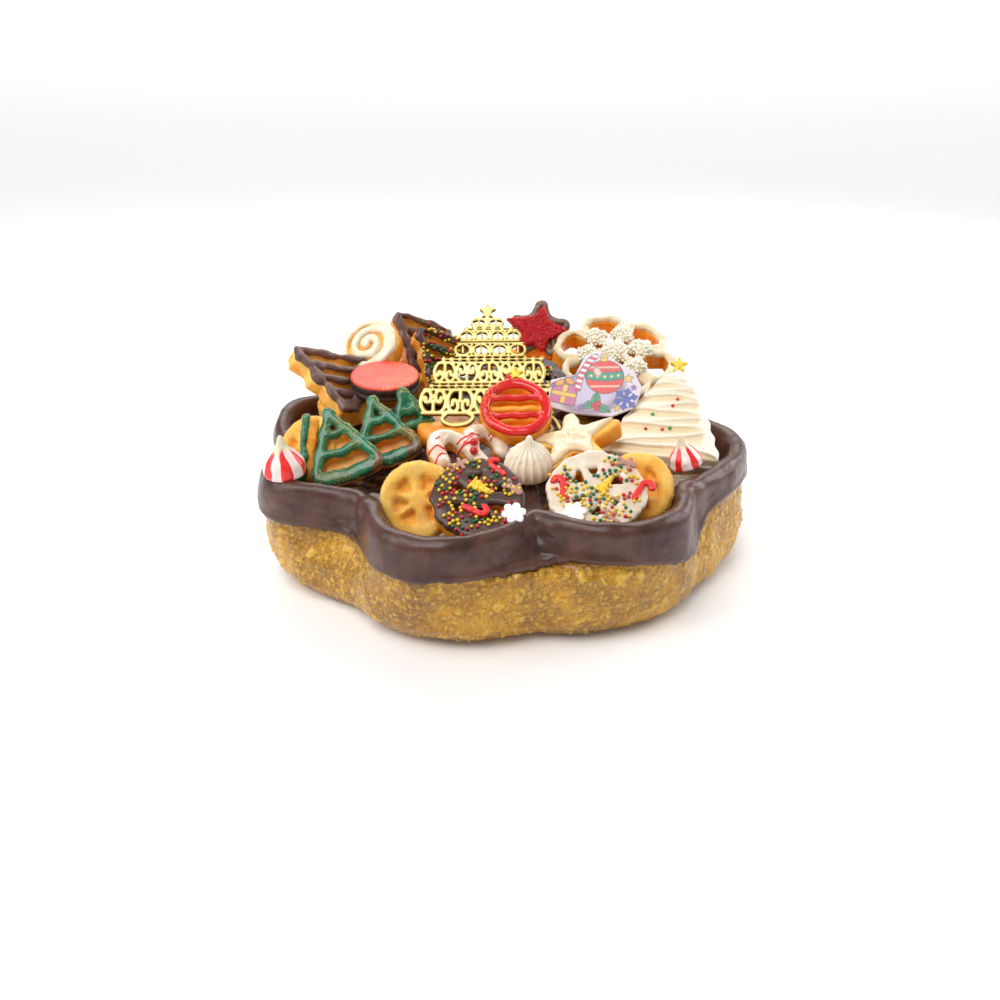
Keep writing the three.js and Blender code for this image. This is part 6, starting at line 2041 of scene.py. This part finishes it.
L, Rr = "round_iced_front_left", "round_iced_front_right"
charm(L, (1.5, 5.0), -36, lambda U, W: fir(13.0)(W, U), 2.6, 0.5, "gold_fir_left", SUGAR_GOLD, 9, 0.3, 5)
charm(L, (-2.0, -9.6), -27, lambda U, W: cane(11.5)(W, U), 2.6, 0.5, "red_cane_left", SUGAR_RED, 8, 0.16, 6)
charm(L, (9.5, 17.0), -42, lambda U, W: cane(10.5)(W, -U), 3.0, 0.5, "red_cane_top", SUGAR_RED, 8, 0.2, 7)
charm(L, (18.0, -11.4), 10, lambda U, W: flake(10.5)(U, W) - 0.8, 2.8, 0.5, "white_flake_left", SUGAR_WHITE, 8, 0.1, 8, sink=0.2)
charm(L, (-10.0, 20.0), 25, lambda U, W: ginger(11)(-W, U), 1.5, 0.5, "ginger_left_top", SUGAR_BROWN, 8, 0.06, 9, sink=0.2)
charm(L, (18.3, 4.4), -40, lambda U, W: ginger(11)(-W, U), 1.5, 0.5, "ginger_left_right", SUGAR_BROWN, 8, 0.06, 10, sink=0.2)
charm(Rr, (4.8, 1.4), 45, lambda U, W: fir(12.0)(-W, U), 2.8, 0.5, "gold_fir_right", SUGAR_GOLD, 9, 0.3, 11)
charm(Rr, (-17.4, 4.2), -8, lambda U, W: cane(11.5)(-U, W), 2.4, 0.5, "red_cane_right_a", SUGAR_RED, 8, 0.14, 12)
charm(Rr, (22.0, -4.0), -38, lambda U, W: cane(12.5)(U, W), 2.6, 0.5, "red_cane_right_b", SUGAR_RED, 8, 0.14, 13)
charm(Rr, (-14.6, -13.6), 0, lambda U, W: flake(10.5)(U, W) - 0.8, 2.8, 0.5, "white_flake_right", SUGAR_WHITE, 8, 0.1, 14, sink=0.2)
charm(Rr, (19.0, 13.6), -25, lambda U, W: ginger(11)(-W, U), 1.5, 0.5, "ginger_right_top", SUGAR_BROWN, 8, 0.06, 15, sink=0.2)
charm(Rr, (3.4, -18.6), 15, ginger(10), 1.5, 0.5, "ginger_right_low", SUGAR_BROWN, 8, 0.06, 16, sink=0.2)


def gather(name, parts, mat):
    V, F, k = [], [], 0
    for v, f in parts:
        V.append(v)
        F.append(f + k)
        k += len(v)
    obj(name, np.concatenate(V), np.concatenate(F), mat, flat=True)


gather("sugar_crystals", sugar_v, plain("sugar_crystal", srgb(255, 240, 205), 0.15, sss=0.0, vary=0.05))
gather("gold_flakes", flakes, plain("gold_flake", srgb(240, 220, 120), 0.22, metal=0.7, sss=0.0, vary=0.15))

# =====================================================================================
# floor, light
# =====================================================================================
def build_stage():
    prof, n = [(0.0, 0.0), (3.0, 0.0), (6.0, 0.12), (12.0, 0.75), (34.0, 3.6)], 72
    V = [(0.0, 0.0, 0.0)] + [(r * math.cos(2 * math.pi * k / n), r * math.sin(2 * math.pi * k / n), z) for (r, z) in prof[1:] for k in range(n)]
    F = [(0, 1 + k, 1 + (k + 1) % n) for k in range(n)]
    F += [(1 + i * n + k, 1 + (i + 1) * n + k, 1 + (i + 1) * n + (k + 1) % n, 1 + i * n + (k + 1) % n) for i in range(len(prof) - 2) for k in range(n)]
    me = bpy.data.meshes.new("floor")
    me.from_pydata(V, [], F)
    me.shade_smooth()
    o = bpy.data.objects.new("floor", me)
    bpy.context.scene.collection.objects.link(o)
    m = Mat("floor_paper")
    n = m.noise(40, 2, 0.5)
    c = m.mix(n, (0.96, 0.96, 0.96), (0.98, 0.98, 0.98))
    me.materials.append(m.done(m.principled(Base_Color=c, Roughness=0.7, Specular_IOR_Level=0.25)))


build_stage()


def area(name, loc, target, size, power, colour=(1, 1, 1)):
    d = bpy.data.lights.new(name, "AREA")
    d.shape = "RECTANGLE"
    d.size, d.size_y = size
    d.energy = power
    d.color = colour
    o = bpy.data.objects.new(name, d)
    bpy.context.scene.collection.objects.link(o)
    o.location = loc
    v = np.array(target) - np.array(loc)
    from mathutils import Vector
    o.rotation_euler = Vector(v).to_track_quat("-Z", "Y").to_euler()


area("left", (-1.0, -0.35, 0.75), (0, 0, 0.05), (0.75, 0.75), 5.5)
area("right", (1.05, 0.45, 0.6), (0, 0, 0.05), (0.7, 0.7), 6)
area("back", (-0.1, 0.75, 0.95), (0, 0, 0.06), (1.1, 0.5), 4.5)
area("far_floor", (0, 18, 11), (0, 17, 0), (22, 10), 1400)
sun = bpy.data.lights.new("overhead", "SUN")
sun.energy = 1.6
sun.angle = 0.7
so = bpy.data.objects.new("overhead", sun)
bpy.context.scene.collection.objects.link(so)
so.rotation_euler = (math.radians(20), math.radians(-12), 0)
world = bpy.data.worlds.new("studio")
bpy.context.scene.world = world
world.use_nodes = True
world.node_tree.nodes["Background"].inputs["Color"].default_value = (1, 1, 1, 1)
world.node_tree.nodes["Background"].inputs["Strength"].default_value = 0.36
vs = bpy.context.scene.view_settings
vs.view_transform = "Standard"
vs.look = "None"
vs.exposure = 0.0
